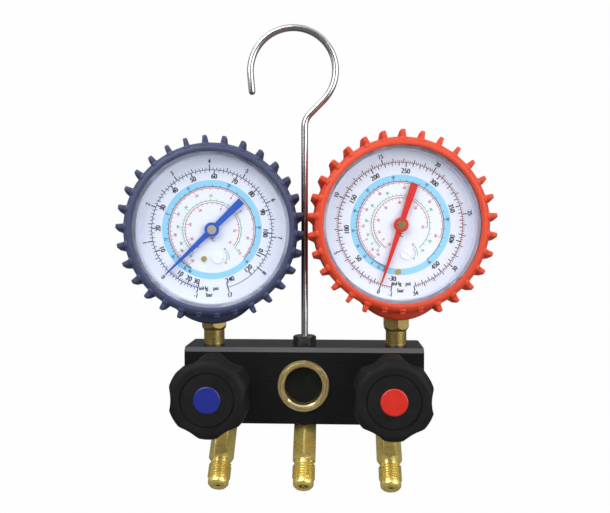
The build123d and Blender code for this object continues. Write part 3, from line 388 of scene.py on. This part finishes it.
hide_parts("hook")

nut_nickel = turned_metal("nut_nickel", (0.26, 0.255, 0.25), (0.11, 0.105, 0.10),
                          (0, MIDDLE_Y, 0), roughness=0.26)
bm = bmesh.new()
hexagon_bar(bm, NUT_FLAT_TO_FLAT, NUT_FOOT, NUT_TOP, NUT_CONE_ACROSS, NUT_CONE_ALONG)
nut = finished("hook_hexagon", bm, Matrix.Translation((0, MIDDLE_Y, 0)), nut_nickel, "manifold")
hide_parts("hook_nut")


# ---- Hand valves ----------------------------------------------------------------------------
# A brass bonnet screwed into the block's face, a gland nut over its neck, and a steel stem
# that pushes a piston onto the seat inside.
VALVE_CENTRE = (0, -30 * MM, 0)
valve_brass = turned_metal("valve_brass", (0.80, 0.58, 0.24), (0.52, 0.34, 0.11), VALVE_CENTRE,
                           FACING, 0.26)
stem_steel = turned_metal("stem_steel", (0.62, 0.62, 0.63), (0.42, 0.42, 0.43), VALVE_CENTRE,
                          FACING, 0.2)
packing_black = Finish("packing_black", (0.02, 0.02, 0.02), 0.7)
packing_black.bump(packing_black.noise(packing_black.place(size=(0.3 * MM,) * 3)), 0.03 * MM)
for side in ("low", "high"):
    dress(valve_brass, f"{side}_bonnet", f"{side}_gland_nut", f"{side}_valve_piston")
    dress(stem_steel, f"{side}_valve_stem", f"{side}_knob_screw")
    dress(packing_black, f"{side}_packing")


# ---- Knobs ----------------------------------------------------------------------------------
# Black moulded hand wheels with six lobes, a fine spark-eroded texture and a ring groove in
# the face. A glossy disc, blue or red, snaps in over the screw.
knob_black = Finish("knob_black", (0.006, 0.006, 0.006), 0.46, Specular_IOR_Level=0.08)
mould_grain = knob_black.noise(knob_black.place(size=(0.22 * MM,) * 3), 2.0)
handling = knob_black.noise(knob_black.place(size=(7 * MM,) * 3), 3.0)
knob_black.set("Base Color", knob_black.mix(
    handling, (0.006, 0.006, 0.006), (0.014, 0.014, 0.015)))
knob_black.set("Roughness", 0.36 + handling * 0.18 + mould_grain * 0.06)
knob_black.bump(mould_grain, 0.03 * MM)
dress(knob_black, "low_knob", "high_knob")


def gloss_plastic(name, colour, deep, size=5 * MM, roughness=0.2):
    """Moulded or enamelled colour with a soft unevenness in tone and gloss."""
    finish = Finish(name, colour, roughness, Specular_IOR_Level=0.3)
    tone = finish.noise(finish.place(size=(size,) * 3), 3.0)
    finish.set("Base Color", finish.mix(tone, deep, colour))
    finish.set("Roughness", roughness - 0.04 + tone * 0.12)
    return finish


disc_blue = gloss_plastic("disc_blue", (0.012, 0.019, 0.20), (0.009, 0.015, 0.17), roughness=0.34)
disc_red = gloss_plastic("disc_red", (0.54, 0.021, 0.011), (0.44, 0.015, 0.009), roughness=0.34)
dress(disc_blue, "low_knob_cap")
dress(disc_red, "high_knob_cap")


# ---- Gauge stems ----------------------------------------------------------------------------
# A brass socket in each gauge: a taper thread in the block's top, a hexagon for the wrench,
# and above it, inside the case, the block that carries the tube and the movement.
GAUGES = {
    "low": {"x": -46.8 * MM, "z": 77.5 * MM, "turn": 6.0},
    "high": {"x": 46.8 * MM, "z": 79.8 * MM, "turn": 4.0},
}
BLOCK_TOP = 19 * MM
STEM_HEX_BOTTOM = 25.9 * MM
STEM_CREST_R, STEM_ROOT_R, STEM_PITCH = 5.45 * MM, 4.85 * MM, 0.941 * MM

for side, gauge in GAUGES.items():
    gauge["place"] = (Matrix.Translation((gauge["x"], MIDDLE_Y, gauge["z"]))
                      @ Matrix.Rotation(radians(gauge["turn"]), 4, "Z"))
    stem_brass = turned_metal(f"{side}_stem_brass", (0.50, 0.39, 0.14), (0.27, 0.19, 0.06),
                              (gauge["x"], MIDDLE_Y, 0), roughness=0.3, metallic=0.8)
    dress(stem_brass, f"{side}_gauge_socket")
    bm = bmesh.new()
    cut_thread(bm, STEM_CREST_R, STEM_ROOT_R, STEM_PITCH, BLOCK_TOP + 0.05 * MM,
               STEM_HEX_BOTTOM + 0.3 * MM)
    finished(f"{side}_stem_thread", bm, Matrix.Translation((gauge["x"], MIDDLE_Y, 0)),
             stem_brass, "manifold")


# ---- Works inside the gauges ----------------------------------------------------------------
# The brass movement, the C-shaped tube with its tip and link, and the steel hairspring. Two
# screws hold the case and two the movement.
works_brass = turned_metal("works_brass", (0.80, 0.60, 0.28), (0.58, 0.40, 0.15), (0, 0, 0),
                           FACING, 0.24)
spring_steel = turned_metal("spring_steel", (0.30, 0.32, 0.38), (0.20, 0.22, 0.27), (0, 0, 0),
                            FACING, 0.3)
case_steel = Finish("case_steel", (0.045, 0.045, 0.047), 0.4, 0.3)
coat = case_steel.noise(case_steel.place(size=(0.5 * MM,) * 3), 3.0)
case_steel.set("Roughness", 0.32 + coat * 0.2)
case_steel.bump(coat, 0.02 * MM)
arbor_metal = turned_metal("arbor_metal", (0.60, 0.54, 0.44), (0.40, 0.34, 0.24), (0, 0, 0),
                           FACING, 0.55, 0.5)
for side in GAUGES:
    dress(works_brass, *(f"{side}_gauge_{piece}" for piece in (
        "movement_frame", "sector_gear", "link", "tube_tip", "pressure_tube")))
    dress(spring_steel, f"{side}_gauge_hairspring", f"{side}_gauge_screws")
    dress(case_steel, f"{side}_gauge_case")
dress(arbor_metal, "low_gauge_pinion")
dress(works_brass, "high_gauge_pinion")


# ---- Dials ----------------------------------------------------------------------------------
# An aluminium disc enamelled bluish white and printed in six inks on the low side and five on
# the high side, each a film over the last. A white moulded ring stands round it, and a brass
# screw and a white zero adjuster stand on it.
DIAL_FACE = -12.6 * MM
FILM = 0.02 * MM
INK_THIN, PALE = 0.05, 0.8

enamel = gloss_plastic("dial_enamel", (0.85, 0.88, 0.96), (0.80, 0.84, 0.94), 9 * MM, 0.38)
ring_white = gloss_plastic("ring_white", (0.64, 0.66, 0.78), (0.60, 0.63, 0.76), 9 * MM, 0.3)


def ink(name, colour):
    """Printing ink, a little uneven where it has taken less well."""
    finish = Finish(name, colour, 0.45)
    taken = finish.noise(finish.place(size=(0.5 * MM,) * 3), 2.0)
    lighter = tuple((1 - INK_THIN) * channel + INK_THIN * PALE for channel in colour)
    finish.set("Base Color", finish.mix(taken, colour, lighter))
    return finish


INKS = {
    "black": ink("ink_black", (0.006, 0.007, 0.013)),
    "blue": ink("ink_blue", (0.03, 0.09, 0.40)),
    "red": ink("ink_red", (0.60, 0.05, 0.03)),
    "cyan": ink("ink_cyan", (0.30, 0.66, 0.88)),
    "green": ink("ink_green", (0.08, 0.44, 0.10)),
    "navy": ink("ink_navy", (0.04, 0.14, 0.38)),
}


def print_tick(bm, angle, start, end, width):
    """A line along a radius of the dial, between two distances from its centre."""
    place = (Matrix.Rotation(radians(-angle), 4, "Z")
             @ Matrix.Translation((0, (start + end) / 2, 0))
             @ Matrix.Diagonal((width, abs(end - start), 1, 1)))
    bmesh.ops.create_grid(bm, x_segments=1, y_segments=1, size=0.5, matrix=place)


def print_arc(bm, radius, width, start, end):
    """An arc between two clock angles."""
    turn = Matrix.Rotation(radians(-start), 3, "Z")
    verts, edges = trace(bm, [turn @ Vector((0, radius + shift, 0))
                              for shift in (-width / 2, width / 2)])
    bmesh.ops.spin(bm, geom=verts + edges, cent=(0, 0, 0), axis=(0, 0, 1), dvec=(0, 0, 0),
                   angle=radians(start - end), steps=max(8, int((end - start) / 2)),
                   use_merge=end - start >= 360)


LOWER_HALF = 100.0
CAP_HEIGHT, SQUEEZE, BOLD = 0.72, 0.85, 0.04


def print_words(bm, words, height, radius=0.0, angle=0.0, at=(0, 0)):
    """Words centred on a point of the dial, their tops outwards, or inwards on its lower half.

    They are laid down twice, a little apart, for a bold stroke."""
    curve = bpy.data.curves.new("words", "FONT")
    curve.body, curve.size = words, 1.0
    curve.align_x, curve.align_y = "CENTER", "CENTER"
    holder = bpy.data.objects.new("words", curve)
    bpy.context.scene.collection.objects.link(holder)
    bpy.context.view_layer.update()
    scale = height / CAP_HEIGHT
    upright = radians(180 if abs(angle) > LOWER_HALF else 0)
    for apart in (-BOLD, BOLD):
        mesh = bpy.data.meshes.new_from_object(holder)
        mesh.transform(Matrix.Translation((*at, 0)) @ Matrix.Rotation(radians(-angle), 4, "Z")
                       @ Matrix.Translation((0, radius, 0)) @ Matrix.Rotation(upright, 4, "Z")
                       @ Matrix.Diagonal((scale * SQUEEZE, scale, 1, 1))
                       @ Matrix.Translation((apart, 0, 0)))
        bm.from_mesh(mesh)
        bpy.data.meshes.remove(mesh)
    bpy.data.objects.remove(holder)
    bpy.data.curves.remove(curve)


def between(stops, value):
    """The clock angle of a value on a scale given by a few (value, angle) stops."""
    for (low, low_angle), (high, high_angle) in zip(stops, stops[1:]):
        if value <= high:
            return low_angle + (high_angle - low_angle) * (value - low) / (high - low)
    return stops[-1][1]


def counted(first, last, step):
    """Values from first to last by a step, kept free of rounding drift."""
    return [round(first + step * i, 4) for i in range(int(round((last - first) / step)) + 1)]


def dial_sheets():
    """One empty sheet of print for each ink."""
    return {colour: bmesh.new() for colour in INKS}


def print_ladder(bm, stops, values, base, lengths, widths, majors, middles=()):
    """Ticks off a circle, long at the majors, shorter at the middles and short elsewhere."""
    for value in values:
        rank = 0 if value in majors else 1 if value in middles else 2
        print_tick(bm, between(stops, value), base, base + lengths[rank], widths[rank])


CIRCLES = (  # ink of the ticks and of the numbers, radius, way the ticks point, numbers' radius
    ("black", "navy", 21.4 * MM, 1, 23.5 * MM),
    ("red", "red", 20.7 * MM, -1, 18.2 * MM),
    ("green", "green", 14.4 * MM, 1, 16.8 * MM),
    ("red", "red", 13.4 * MM, -1, 11.0 * MM),
)
CIRCLE_W, CIRCLE_TICK_W = 0.30 * MM, 0.22 * MM
TEN_TICK, TWO_TICK = 1.5 * MM, 0.9 * MM
BAND_R, BAND_W = 23.1 * MM, 3.1 * MM


def print_middle(sheets, scales):
    """A light band and four thin circles, each with its own run of degrees Celsius.

    A tick stands at every 2 degrees and a number at each stop."""
    print_arc(sheets["cyan"], BAND_R, BAND_W, 0, 360)
    for (tick_ink, number_ink, radius, way, number_radius), stops in zip(CIRCLES, scales):
        print_arc(sheets[tick_ink], radius, CIRCLE_W, stops[0][1], stops[-1][1])
        for value in counted(stops[0][0], stops[-1][0], 2):
            length = TEN_TICK if value % 10 == 0 else TWO_TICK
            print_tick(sheets[tick_ink], between(stops, value), radius, radius + way * length,
                       CIRCLE_TICK_W)
        for value, angle in stops:
            print_words(sheets[number_ink], str(value), 1.3 * MM, number_radius, angle)
    print_words(sheets["black"], "°C", 2.0 * MM, at=(0.2 * MM, -5.0 * MM))


def print_units(sheets, places):
    """The units of the pressure scales: height of the letters and place of each, in mm."""
    for words, height, x, y in places:
        print_words(sheets["black"], words, height * MM, at=(x * MM, y * MM))


def press_sheets(side, sheets, order):
    """Lays the sheets of print on a dial, each a film above the last."""
    for layer, colour in enumerate(order, 1):
        lay = (GAUGES[side]["place"] @ Matrix.Translation((0, DIAL_FACE - layer * FILM, 0))
               @ Matrix.Rotation(radians(90), 4, "X"))
        finished(f"{side}_dial_print_{colour}", sheets[colour], lay, INKS[colour], "manifold")
    for colour in set(INKS) - set(order):
        sheets[colour].free()


def join_part(bm, part):
    """Adds a part made on its own to the rest of its piece."""
    mesh = bpy.data.meshes.new("part")
    part.to_mesh(mesh)
    bm.from_mesh(mesh)
    bpy.data.meshes.remove(mesh)
    part.free()


def adjuster_arrows(bm):
    """Two short arcs with arrow heads beside the zero adjuster."""
    sheet = bmesh.new()
    print_arc(sheet, 4.6 * MM, 0.16 * MM, 50, 118)
    print_arc(sheet, 5.7 * MM, 0.16 * MM, 42, 100)
    print_tick(sheet, 122, 3.9 * MM, 5.3 * MM, 0.3 * MM)
    print_tick(sheet, 38, 5.0 * MM, 6.4 * MM, 0.3 * MM)
    bmesh.ops.translate(sheet, verts=sheet.verts, vec=(2.7 * MM, -14.1 * MM, 0))
    join_part(bm, sheet)


INNER_NUMBER_R = 26.4 * MM
LINE_W = 0.34 * MM
MAJOR_W, MIDDLE_W, MINOR_W = 0.50 * MM, 0.40 * MM, 0.30 * MM

# The low side: vacuum to 8 bar over most of the dial, then a short run up to 17 bar.
LOW_SCALE_R, LOW_NUMBER_R = 29.7 * MM, 33.8 * MM
LOW_START, LOW_ZERO, LOW_END = -166.1, -134.1, 165.0
sheets = dial_sheets()
low_bar = ((-1, LOW_START), (0, LOW_ZERO), (8, 129.9), (17, LOW_END))
low_psi = ((0, LOW_ZERO), (120, 138.9), (240, LOW_END))
low_mercury = ((-30, LOW_START), (0, LOW_ZERO))
print_arc(sheets["blue"], LOW_SCALE_R, LINE_W, LOW_START, LOW_END)
print_ladder(sheets["black"], low_bar, counted(-1, 8, 0.1), LOW_SCALE_R,
             (2.5 * MM, 1.9 * MM, 1.2 * MM), (MAJOR_W, MIDDLE_W, MINOR_W),
             counted(-1, 8, 1), counted(-0.5, 7.5, 1))
print_ladder(sheets["black"], low_psi, counted(0, 120, 2), LOW_SCALE_R,
             (-2.2 * MM, -1.9 * MM, -1.2 * MM), (MAJOR_W, MIDDLE_W, MINOR_W),
             counted(0, 120, 10))
for mercury in counted(2, 30, 2):
    major = mercury % 10 == 0
    angle = between(low_mercury, -mercury)
    print_tick(sheets["black"], angle, LOW_SCALE_R, LOW_SCALE_R - (2.2 if major else 1.2) * MM,
               MAJOR_W if major else MINOR_W)
    if major:
        print_words(sheets["black"], str(mercury), 2.5 * MM, INNER_NUMBER_R + 0.4 * MM,
                    angle + (3.0 if mercury == 30 else 1.0))
print_tick(sheets["black"], LOW_END, LOW_SCALE_R - 2.2 * MM, LOW_SCALE_R + 2.5 * MM, MAJOR_W)
for value in (-1, 0, 1, 2, 3, 4, 5, 6, 7, 8, 17):
    print_words(sheets["black"], str(value), 2.2 * MM, LOW_NUMBER_R, between(low_bar, value))
for value in (*counted(10, 120, 10), 240):
    lean = -4.5 if value == 240 else -1.5 if value == 120 else 0.0
    print_words(sheets["black"], str(int(value)), 2.5 * MM, INNER_NUMBER_R,
                between(low_psi, value) + lean)
print_middle(sheets, (
    ((-40, -151.0), (-30, -144.0), (-20, -124.0), (-10, -101.0), (0, -70.4), (10, -30.0),
     (20, 21.0), (30, 87.0), (38, 133.0)),
    ((-50, -147.0), (-40, -124.0), (-30, -99.0), (-20, -66.0), (-10, -25.0), (0, 31.0),
     (10, 103.5), (14, 131.0)),
    ((-50, -140.0), (-40, -113.0), (-30, -86.0), (-20, -50.0), (-10, -2.8), (0, 57.0),
     (10, 129.0)),
    ((-40, -137.0), (-30, -113.0), (-20, -78.0), (-10, -33.0), (0, 23.0), (10, 92.0),
     (14, 126.0))))
print_units(sheets, (("inHg", 2.0, -4.3, -29.2), ("psi", 2.0, 1.8, -29.2),
                     ("bar", 2.1, -1.5, -32.5)))
adjuster_arrows(sheets["black"])
press_sheets("low", sheets, ("cyan", "blue", "red", "green", "navy", "black"))

# The high side: vacuum to 34 bar, evenly spaced above zero.
HIGH_SCALE_R, HIGH_NUMBER_R = 30.7 * MM, 34.6 * MM
HIGH_START, HIGH_ZERO, HIGH_END = -172.0, -161.8, 167.3
FINE_W = 0.8 * MINOR_W
sheets = dial_sheets()
high_bar = ((-1, HIGH_START), (0, HIGH_ZERO), (34, HIGH_END))
high_psi = ((0, HIGH_ZERO), (490, 165.5))
print_arc(sheets["red"], HIGH_SCALE_R, LINE_W, HIGH_START, HIGH_END)
print_ladder(sheets["black"], high_bar, counted(-1, 34, 0.2), HIGH_SCALE_R,
             (2.5 * MM, 1.9 * MM, 1.0 * MM), (MAJOR_W, MIDDLE_W, FINE_W),
             (-1, *counted(0, 30, 5), 34), counted(0, 34, 1))
print_ladder(sheets["black"], high_psi, counted(0, 490, 5), HIGH_SCALE_R,
             (-2.2 * MM, -1.7 * MM, -1.1 * MM), (MAJOR_W, MIDDLE_W, FINE_W),
             counted(0, 450, 50), counted(0, 490, 10))
print_tick(sheets["black"], HIGH_START, HIGH_SCALE_R - 2.2 * MM, HIGH_SCALE_R, MAJOR_W)
for value in (-1, *range(0, 31, 5), 34):
    print_words(sheets["black"], str(value), 2.2 * MM, HIGH_NUMBER_R, between(high_bar, value))
for value in range(50, 451, 50):
    print_words(sheets["black"], str(value), 2.5 * MM, INNER_NUMBER_R, between(high_psi, value))
print_words(sheets["black"], "-30", 2.5 * MM, INNER_NUMBER_R + 0.3 * MM, -171.5)
print_middle(sheets, (
    ((-20, -160.0), (-10, -152.0), (0, -143.0), (10, -131.0), (20, -116.0), (30, -97.0),
     (40, -73.0), (50, -44.0), (60, -9.0), (70, 33.0), (80, 83.0), (90, 142.0)),
    ((-20, -142.0), (-10, -130.0), (0, -113.0), (10, -92.0), (20, -66.0), (30, -34.0),
     (40, 5.7), (50, 51.0), (60, 107.0)),
    ((-10, -137.0), (0, -123.0), (10, -106.0), (20, -83.0), (30, -56.0), (40, -23.0),
     (50, 16.0), (60, 63.0), (70, 119.0), (74, 139.0)),
    ((-10, -148.0), (0, -130.0), (10, -108.0), (20, -78.0), (30, -41.0), (40, -3.0),
     (50, 41.0), (60, 95.0))))
print_units(sheets, (("inHg", 2.0, -1.6, -28.9), ("psi", 2.0, 3.9, -28.9),
                     ("bar", 2.1, 0.2, -32.3)))
adjuster_arrows(sheets["black"])
press_sheets("high", sheets, ("cyan", "red", "green", "navy", "black"))

screw_brass = turned_metal("screw_brass", (0.78, 0.60, 0.24), (0.56, 0.40, 0.12), (0, 0, 0),
                           FACING, 0.5)
adjuster_white = gloss_plastic("adjuster_white", (0.90, 0.92, 0.95), (0.85, 0.88, 0.93),
                               2 * MM, 0.3)
for side in GAUGES:
    dress(enamel, f"{side}_gauge_dial")
    dress(ring_white, f"{side}_gauge_dial_ring")
    dress(screw_brass, f"{side}_gauge_dial_screw")
    dress(adjuster_white, f"{side}_gauge_adjuster")


# ---- Pointers -------------------------------------------------------------------------------
# A stamped needle with a flared tail and a moulded hub, enamelled blue on the low side and red
# on the high side.
pointer_blue = gloss_plastic("pointer_blue", (0.045, 0.13, 0.55), (0.03, 0.09, 0.42), 6 * MM, 0.3)
pointer_red = gloss_plastic("pointer_red", (0.72, 0.045, 0.035), (0.60, 0.03, 0.025), 6 * MM, 0.3)
dress(pointer_blue, "low_gauge_pointer")
dress(pointer_red, "high_gauge_pointer")


# ---- Windows --------------------------------------------------------------------------------
# A clear moulded window, 2 mm thick, whose raised rim sits under the boot's lip. It adds only
# its reflections to what lies behind it.
window_clear = Finish("window_clear", (0.95, 0.97, 1.0), 0.04, IOR=1.45)
clear = window_clear.node("ShaderNodeBsdfTransparent", {}, {"Color": (0.985, 0.99, 1.0, 1.0)})
sheen = window_clear.node("ShaderNodeFresnel", {}, {"IOR": 1.42})
gloss = window_clear.node("ShaderNodeBsdfGlossy", {}, {"Color": (1, 1, 1, 1), "Roughness": 0.03})
both = window_clear.node("ShaderNodeMixShader", {}, {0: sheen * 0.3, 1: clear, 2: gloss})
window_clear.plug(window_clear.tree.nodes["Material Output"].inputs["Surface"], both)
dress(window_clear, "low_gauge_lens", "high_gauge_lens")


# ---- Boots ----------------------------------------------------------------------------------
# Each gauge wears a moulded rubber boot: a thick ring over the window's rim, thirty fins that
# start as a bulb on its bevelled front, a cup round the case and a chin over the stem.
FIN_COUNT = 30
FIN_T = 2.0 * MM
FIN_TIP_R, FIN_FOOT_R = 46.0 * MM, 41.2 * MM
FIN_STUBS = radians(18)
FIN_FRONT = -20.7 * MM
FIN_LEAN = tan(radians(13))
FIN_BEVEL, FIN_SWELL, STUB_HEIGHT = 0.4 * MM, 0.5, 0.42
BULB_AT = (0, -20.5 * MM, 41.0 * MM)
BULB_SIZE = (1.5 * MM, 1.3 * MM, 1.8 * MM, 1)
CHIN_Z, CHIN_HALF = -21.7 * MM, radians(62)
RING_STEPS, CHIN_STEPS = 144, 48


def boot_rubber(name, colour, deep):
    """Matt moulded rubber with a faint bloom and a fine skin."""
    finish = Finish(name, colour, 0.5, Specular_IOR_Level=0.4)
    bloom = finish.noise(finish.place(size=(9 * MM,) * 3), 3.0)
    skin = finish.noise(finish.place(size=(0.35 * MM,) * 3), 2.0)
    finish.set("Base Color", finish.mix(bloom, deep, colour))
    finish.set("Roughness", 0.42 + bloom * 0.16)
    finish.bump(skin, 0.02 * MM)
    return finish


def boot_fin(bm, angle):
    """A blade from the ring's bevel back along its side, with a bulb at its foot.

    It leans down a little as it runs back, and those over the stem are only low ribs."""
    blade = bmesh.new()
    outline = ((40.8, -20.7), (45.4, -20.7), (46.0, -20.0), (45.85, -13.4), (44.6, -10.8),
               (43.4, -8.0), (42.7, -5.0), (41.2, -4.4))
    face = blade.faces.new([blade.verts.new((-FIN_T / 2, y * MM, r * MM)) for r, y in outline])
    made = bmesh.ops.extrude_face_region(blade, geom=[face])
    bmesh.ops.translate(blade, verts=last_ring(made["geom"])[0], vec=(FIN_T, 0, 0))
    bmesh.ops.bevel(blade, geom=blade.edges, offset=FIN_BEVEL, segments=2, profile=0.5,
                    affect="EDGES", material=-1)
    bmesh.ops.create_uvsphere(blade, u_segments=12, v_segments=8, radius=1.0,
                              matrix=Matrix.Translation(BULB_AT) @ Matrix.Diagonal(BULB_SIZE))
    height = STUB_HEIGHT if cos(angle) < -cos(FIN_STUBS) else 1.0
    for vert in blade.verts:
        up = vert.co.z - FIN_FOOT_R
        vert.co.x *= 1 + FIN_SWELL - FIN_SWELL * max(0.0, up) / (FIN_TIP_R - FIN_FOOT_R)
        vert.co.x += max(0.0, vert.co.y - FIN_FRONT) * FIN_LEAN * sin(angle)
        vert.co.z = FIN_FOOT_R + up * (height if up > 0 else 1.0)
    bmesh.ops.rotate(blade, verts=blade.verts, cent=(0, 0, 0),
                     matrix=Matrix.Rotation(angle, 3, "Y"))
    join_part(bm, blade)


def boot_ring(bm):
    """The ring and the cup behind it, spun about the gauge's axis."""
    outline = ((39.75, 10.15), (39.75, -19.42), (38.2, -19.42), (38.2, -21.3), (38.45, -21.8),
               (39.0, -22.0), (39.8, -22.0), (40.5, -21.7), (41.8, -20.3), (42.3, -19.4),
               (42.5, -18.2), (42.5, 10.6), (42.2, 11.6), (41.5, 12.2), (40.6, 12.4), (32.3, 12.4),
               (32.0, 12.1), (32.0, 10.15))
    verts, edges = trace(bm, [(0, y * MM, r * MM) for r, y in outline], closed=True)
    bmesh.ops.spin(bm, geom=verts + edges, cent=(0, 0, 0), axis=(0, 1, 0), dvec=(0, 0, 0),
                   angle=2 * pi, steps=RING_STEPS, use_merge=True)


def boot_chin(bm):
    """The swelling round the stem: part of a wider roll, ending inside the ring's wall."""
    chin = bmesh.new()
    outline = ((19.0, -15.0), (21.5, -15.0), (22.9, -14.5), (24.2, -13.6), (25.1, -12.3),
               (25.5, -11.0), (25.5, 9.0), (25.1, 10.3), (24.2, 11.0), (19.0, 11.0))
    verts, edges = trace(chin, [(0, y * MM, CHIN_Z - r * MM) for r, y in outline])
    bmesh.ops.rotate(chin, verts=verts, cent=(0, 0, CHIN_Z),
                     matrix=Matrix.Rotation(-CHIN_HALF, 3, "Y"))
    bmesh.ops.spin(chin, geom=verts + edges, cent=(0, 0, CHIN_Z), axis=(0, 1, 0), dvec=(0, 0, 0),
                   angle=2 * CHIN_HALF, steps=CHIN_STEPS)
    for vert in chin.verts:
        reach = hypot(vert.co.x, vert.co.z)
        if reach < FIN_FOOT_R:
            vert.co.x *= FIN_FOOT_R / reach
            vert.co.z *= FIN_FOOT_R / reach
    join_part(bm, chin)


boot_navy = boot_rubber("boot_navy", (0.044, 0.054, 0.120), (0.033, 0.042, 0.096))
boot_orange = boot_rubber("boot_orange", (0.62, 0.055, 0.015), (0.51, 0.042, 0.012))
BOOTS = {"low": (boot_navy, "rubber_blue", -3.7), "high": (boot_orange, "rubber_red", 0.0)}
for side, (rubber, slot, first_fin) in BOOTS.items():
    bm = bmesh.new()
    boot_ring(bm)
    boot_chin(bm)
    for i in range(FIN_COUNT):
        boot_fin(bm, radians(first_fin + 360 / FIN_COUNT * i))
    boot = finished(f"{side}_boot", bm, GAUGES[side]["place"], rubber, "manifold", 40.0)
    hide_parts(f"{side}_gauge_boot")


# ---- Floor, light and camera ----------------------------------------------------------------
# A pale sheet that curves up behind the set, and three large lamps. A white surround lights the
# rest, and darkens above the set and in front of it, where bright metal would mirror it.
FLOOR_Z = -0.16
WALL_Y, WALL_H = 0.55, 0.5
SHEET_FRONT, SHEET_HALF_W = -1.6, 2.2
CURVE_R, CURVE_STEPS = 0.25, 24

sheet = bmesh.new()
strip = trace(sheet, [(x, SHEET_FRONT, FLOOR_Z) for x in (-SHEET_HALF_W, SHEET_HALF_W)])
strip = grow(sheet, strip, Vector((0, WALL_Y - CURVE_R - SHEET_FRONT, 0)))
made = bmesh.ops.spin(sheet, geom=strip[0] + strip[1],
                      cent=(0, WALL_Y - CURVE_R, FLOOR_Z + CURVE_R), axis=(1, 0, 0),
                      dvec=(0, 0, 0), angle=radians(90), steps=CURVE_STEPS)
grow(sheet, last_ring(made["geom_last"]), Vector((0, 0, WALL_H)))
bmesh.ops.recalc_face_normals(sheet, faces=sheet.faces)
mesh = bpy.data.meshes.new("backdrop")
sheet.to_mesh(mesh)
sheet.free()
mesh.shade_smooth()
backdrop = bpy.data.objects.new("backdrop", mesh)
bpy.context.scene.collection.objects.link(backdrop)

paper = Finish("backdrop_paper", (0.42, 0.42, 0.42), 0.9)
path = paper.tree.nodes.new("ShaderNodeLightPath")
to_camera, in_gloss, through = (Level(paper, path.outputs[kind]) for kind in (
    "Is Camera Ray", "Is Glossy Ray", "Is Transmission Ray"))
white = paper.node("ShaderNodeEmission", {}, {"Color": (1, 1, 1, 1), "Strength": 1.0})
grey = paper.node("ShaderNodeEmission", {}, {"Color": (1, 1, 1, 1), "Strength": 0.15})
lit = Level(paper, paper.shader.outputs["BSDF"])
dimmed = paper.node("ShaderNodeMixShader", {}, {0: in_gloss * 0.85, 1: lit, 2: grey})
shown = paper.node("ShaderNodeMixShader", {}, {
    0: (to_camera + through) * 0.98, 1: dimmed, 2: white})
paper.plug(paper.tree.nodes["Material Output"].inputs["Surface"], shown)
backdrop.data.materials.append(paper.material)

world = bpy.data.worlds.new("surround")
bpy.context.scene.world = world
world.use_nodes = True
tree = world.node_tree
background = tree.nodes["Background"]
background.inputs["Color"].default_value = (1.0, 1.0, 1.0, 1.0)
direction = tree.nodes.new("ShaderNodeTexCoord")
ahead = tree.nodes.new("ShaderNodeVectorMath")
ahead.operation = "DOT_PRODUCT"
ahead.inputs[1].default_value = (0, -0.7, 0.7)
shade = tree.nodes.new("ShaderNodeMapRange")
shade.interpolation_type = "SMOOTHSTEP"
for socket, value in {"From Min": -0.2, "From Max": 0.8, "To Min": 0.88, "To Max": 0.08}.items():
    shade.inputs[socket].default_value = value
tree.links.new(direction.outputs["Generated"], ahead.inputs[0])
tree.links.new(ahead.outputs["Value"], shade.inputs["Value"])
tree.links.new(shade.outputs["Result"], background.inputs["Strength"])

LAMPS = {  # place, length of a side in metres, power in watts
    "key_lamp": ((-0.55, -0.75, 0.75), 0.9, 13.3),
    "fill_lamp": ((0.75, -0.65, 0.35), 0.9, 8.9),
    "top_lamp": ((0.0, -0.05, 0.95), 1.6, 6.0),
}
LAMP_AIM = Vector((0, 0, 0.05))
for name, (at, size, power) in LAMPS.items():
    lamp = bpy.data.lights.new(name, "AREA")
    lamp.shape, lamp.size, lamp.energy = "SQUARE", size, power
    holder = bpy.data.objects.new(name, lamp)
    holder.location = at
    holder.rotation_euler = (LAMP_AIM - Vector(at)).to_track_quat("-Z", "Y").to_euler()
    bpy.context.scene.collection.objects.link(holder)

CAMERA_AT = (0.0164, -0.371, 0.0755)
CAMERA_DIP, CAMERA_PAN = radians(1.87), radians(2.6)
lens = bpy.data.cameras.new("camera")
lens.sensor_width = 36.0
lens.lens = 41.15
lens.clip_start = 0.01
camera = bpy.data.objects.new("camera", lens)
camera.location = CAMERA_AT
camera.rotation_euler = (radians(90) - CAMERA_DIP, 0, CAMERA_PAN)
bpy.context.scene.collection.objects.link(camera)
bpy.context.scene.camera = camera
bpy.context.scene.view_settings.view_transform = "Standard"
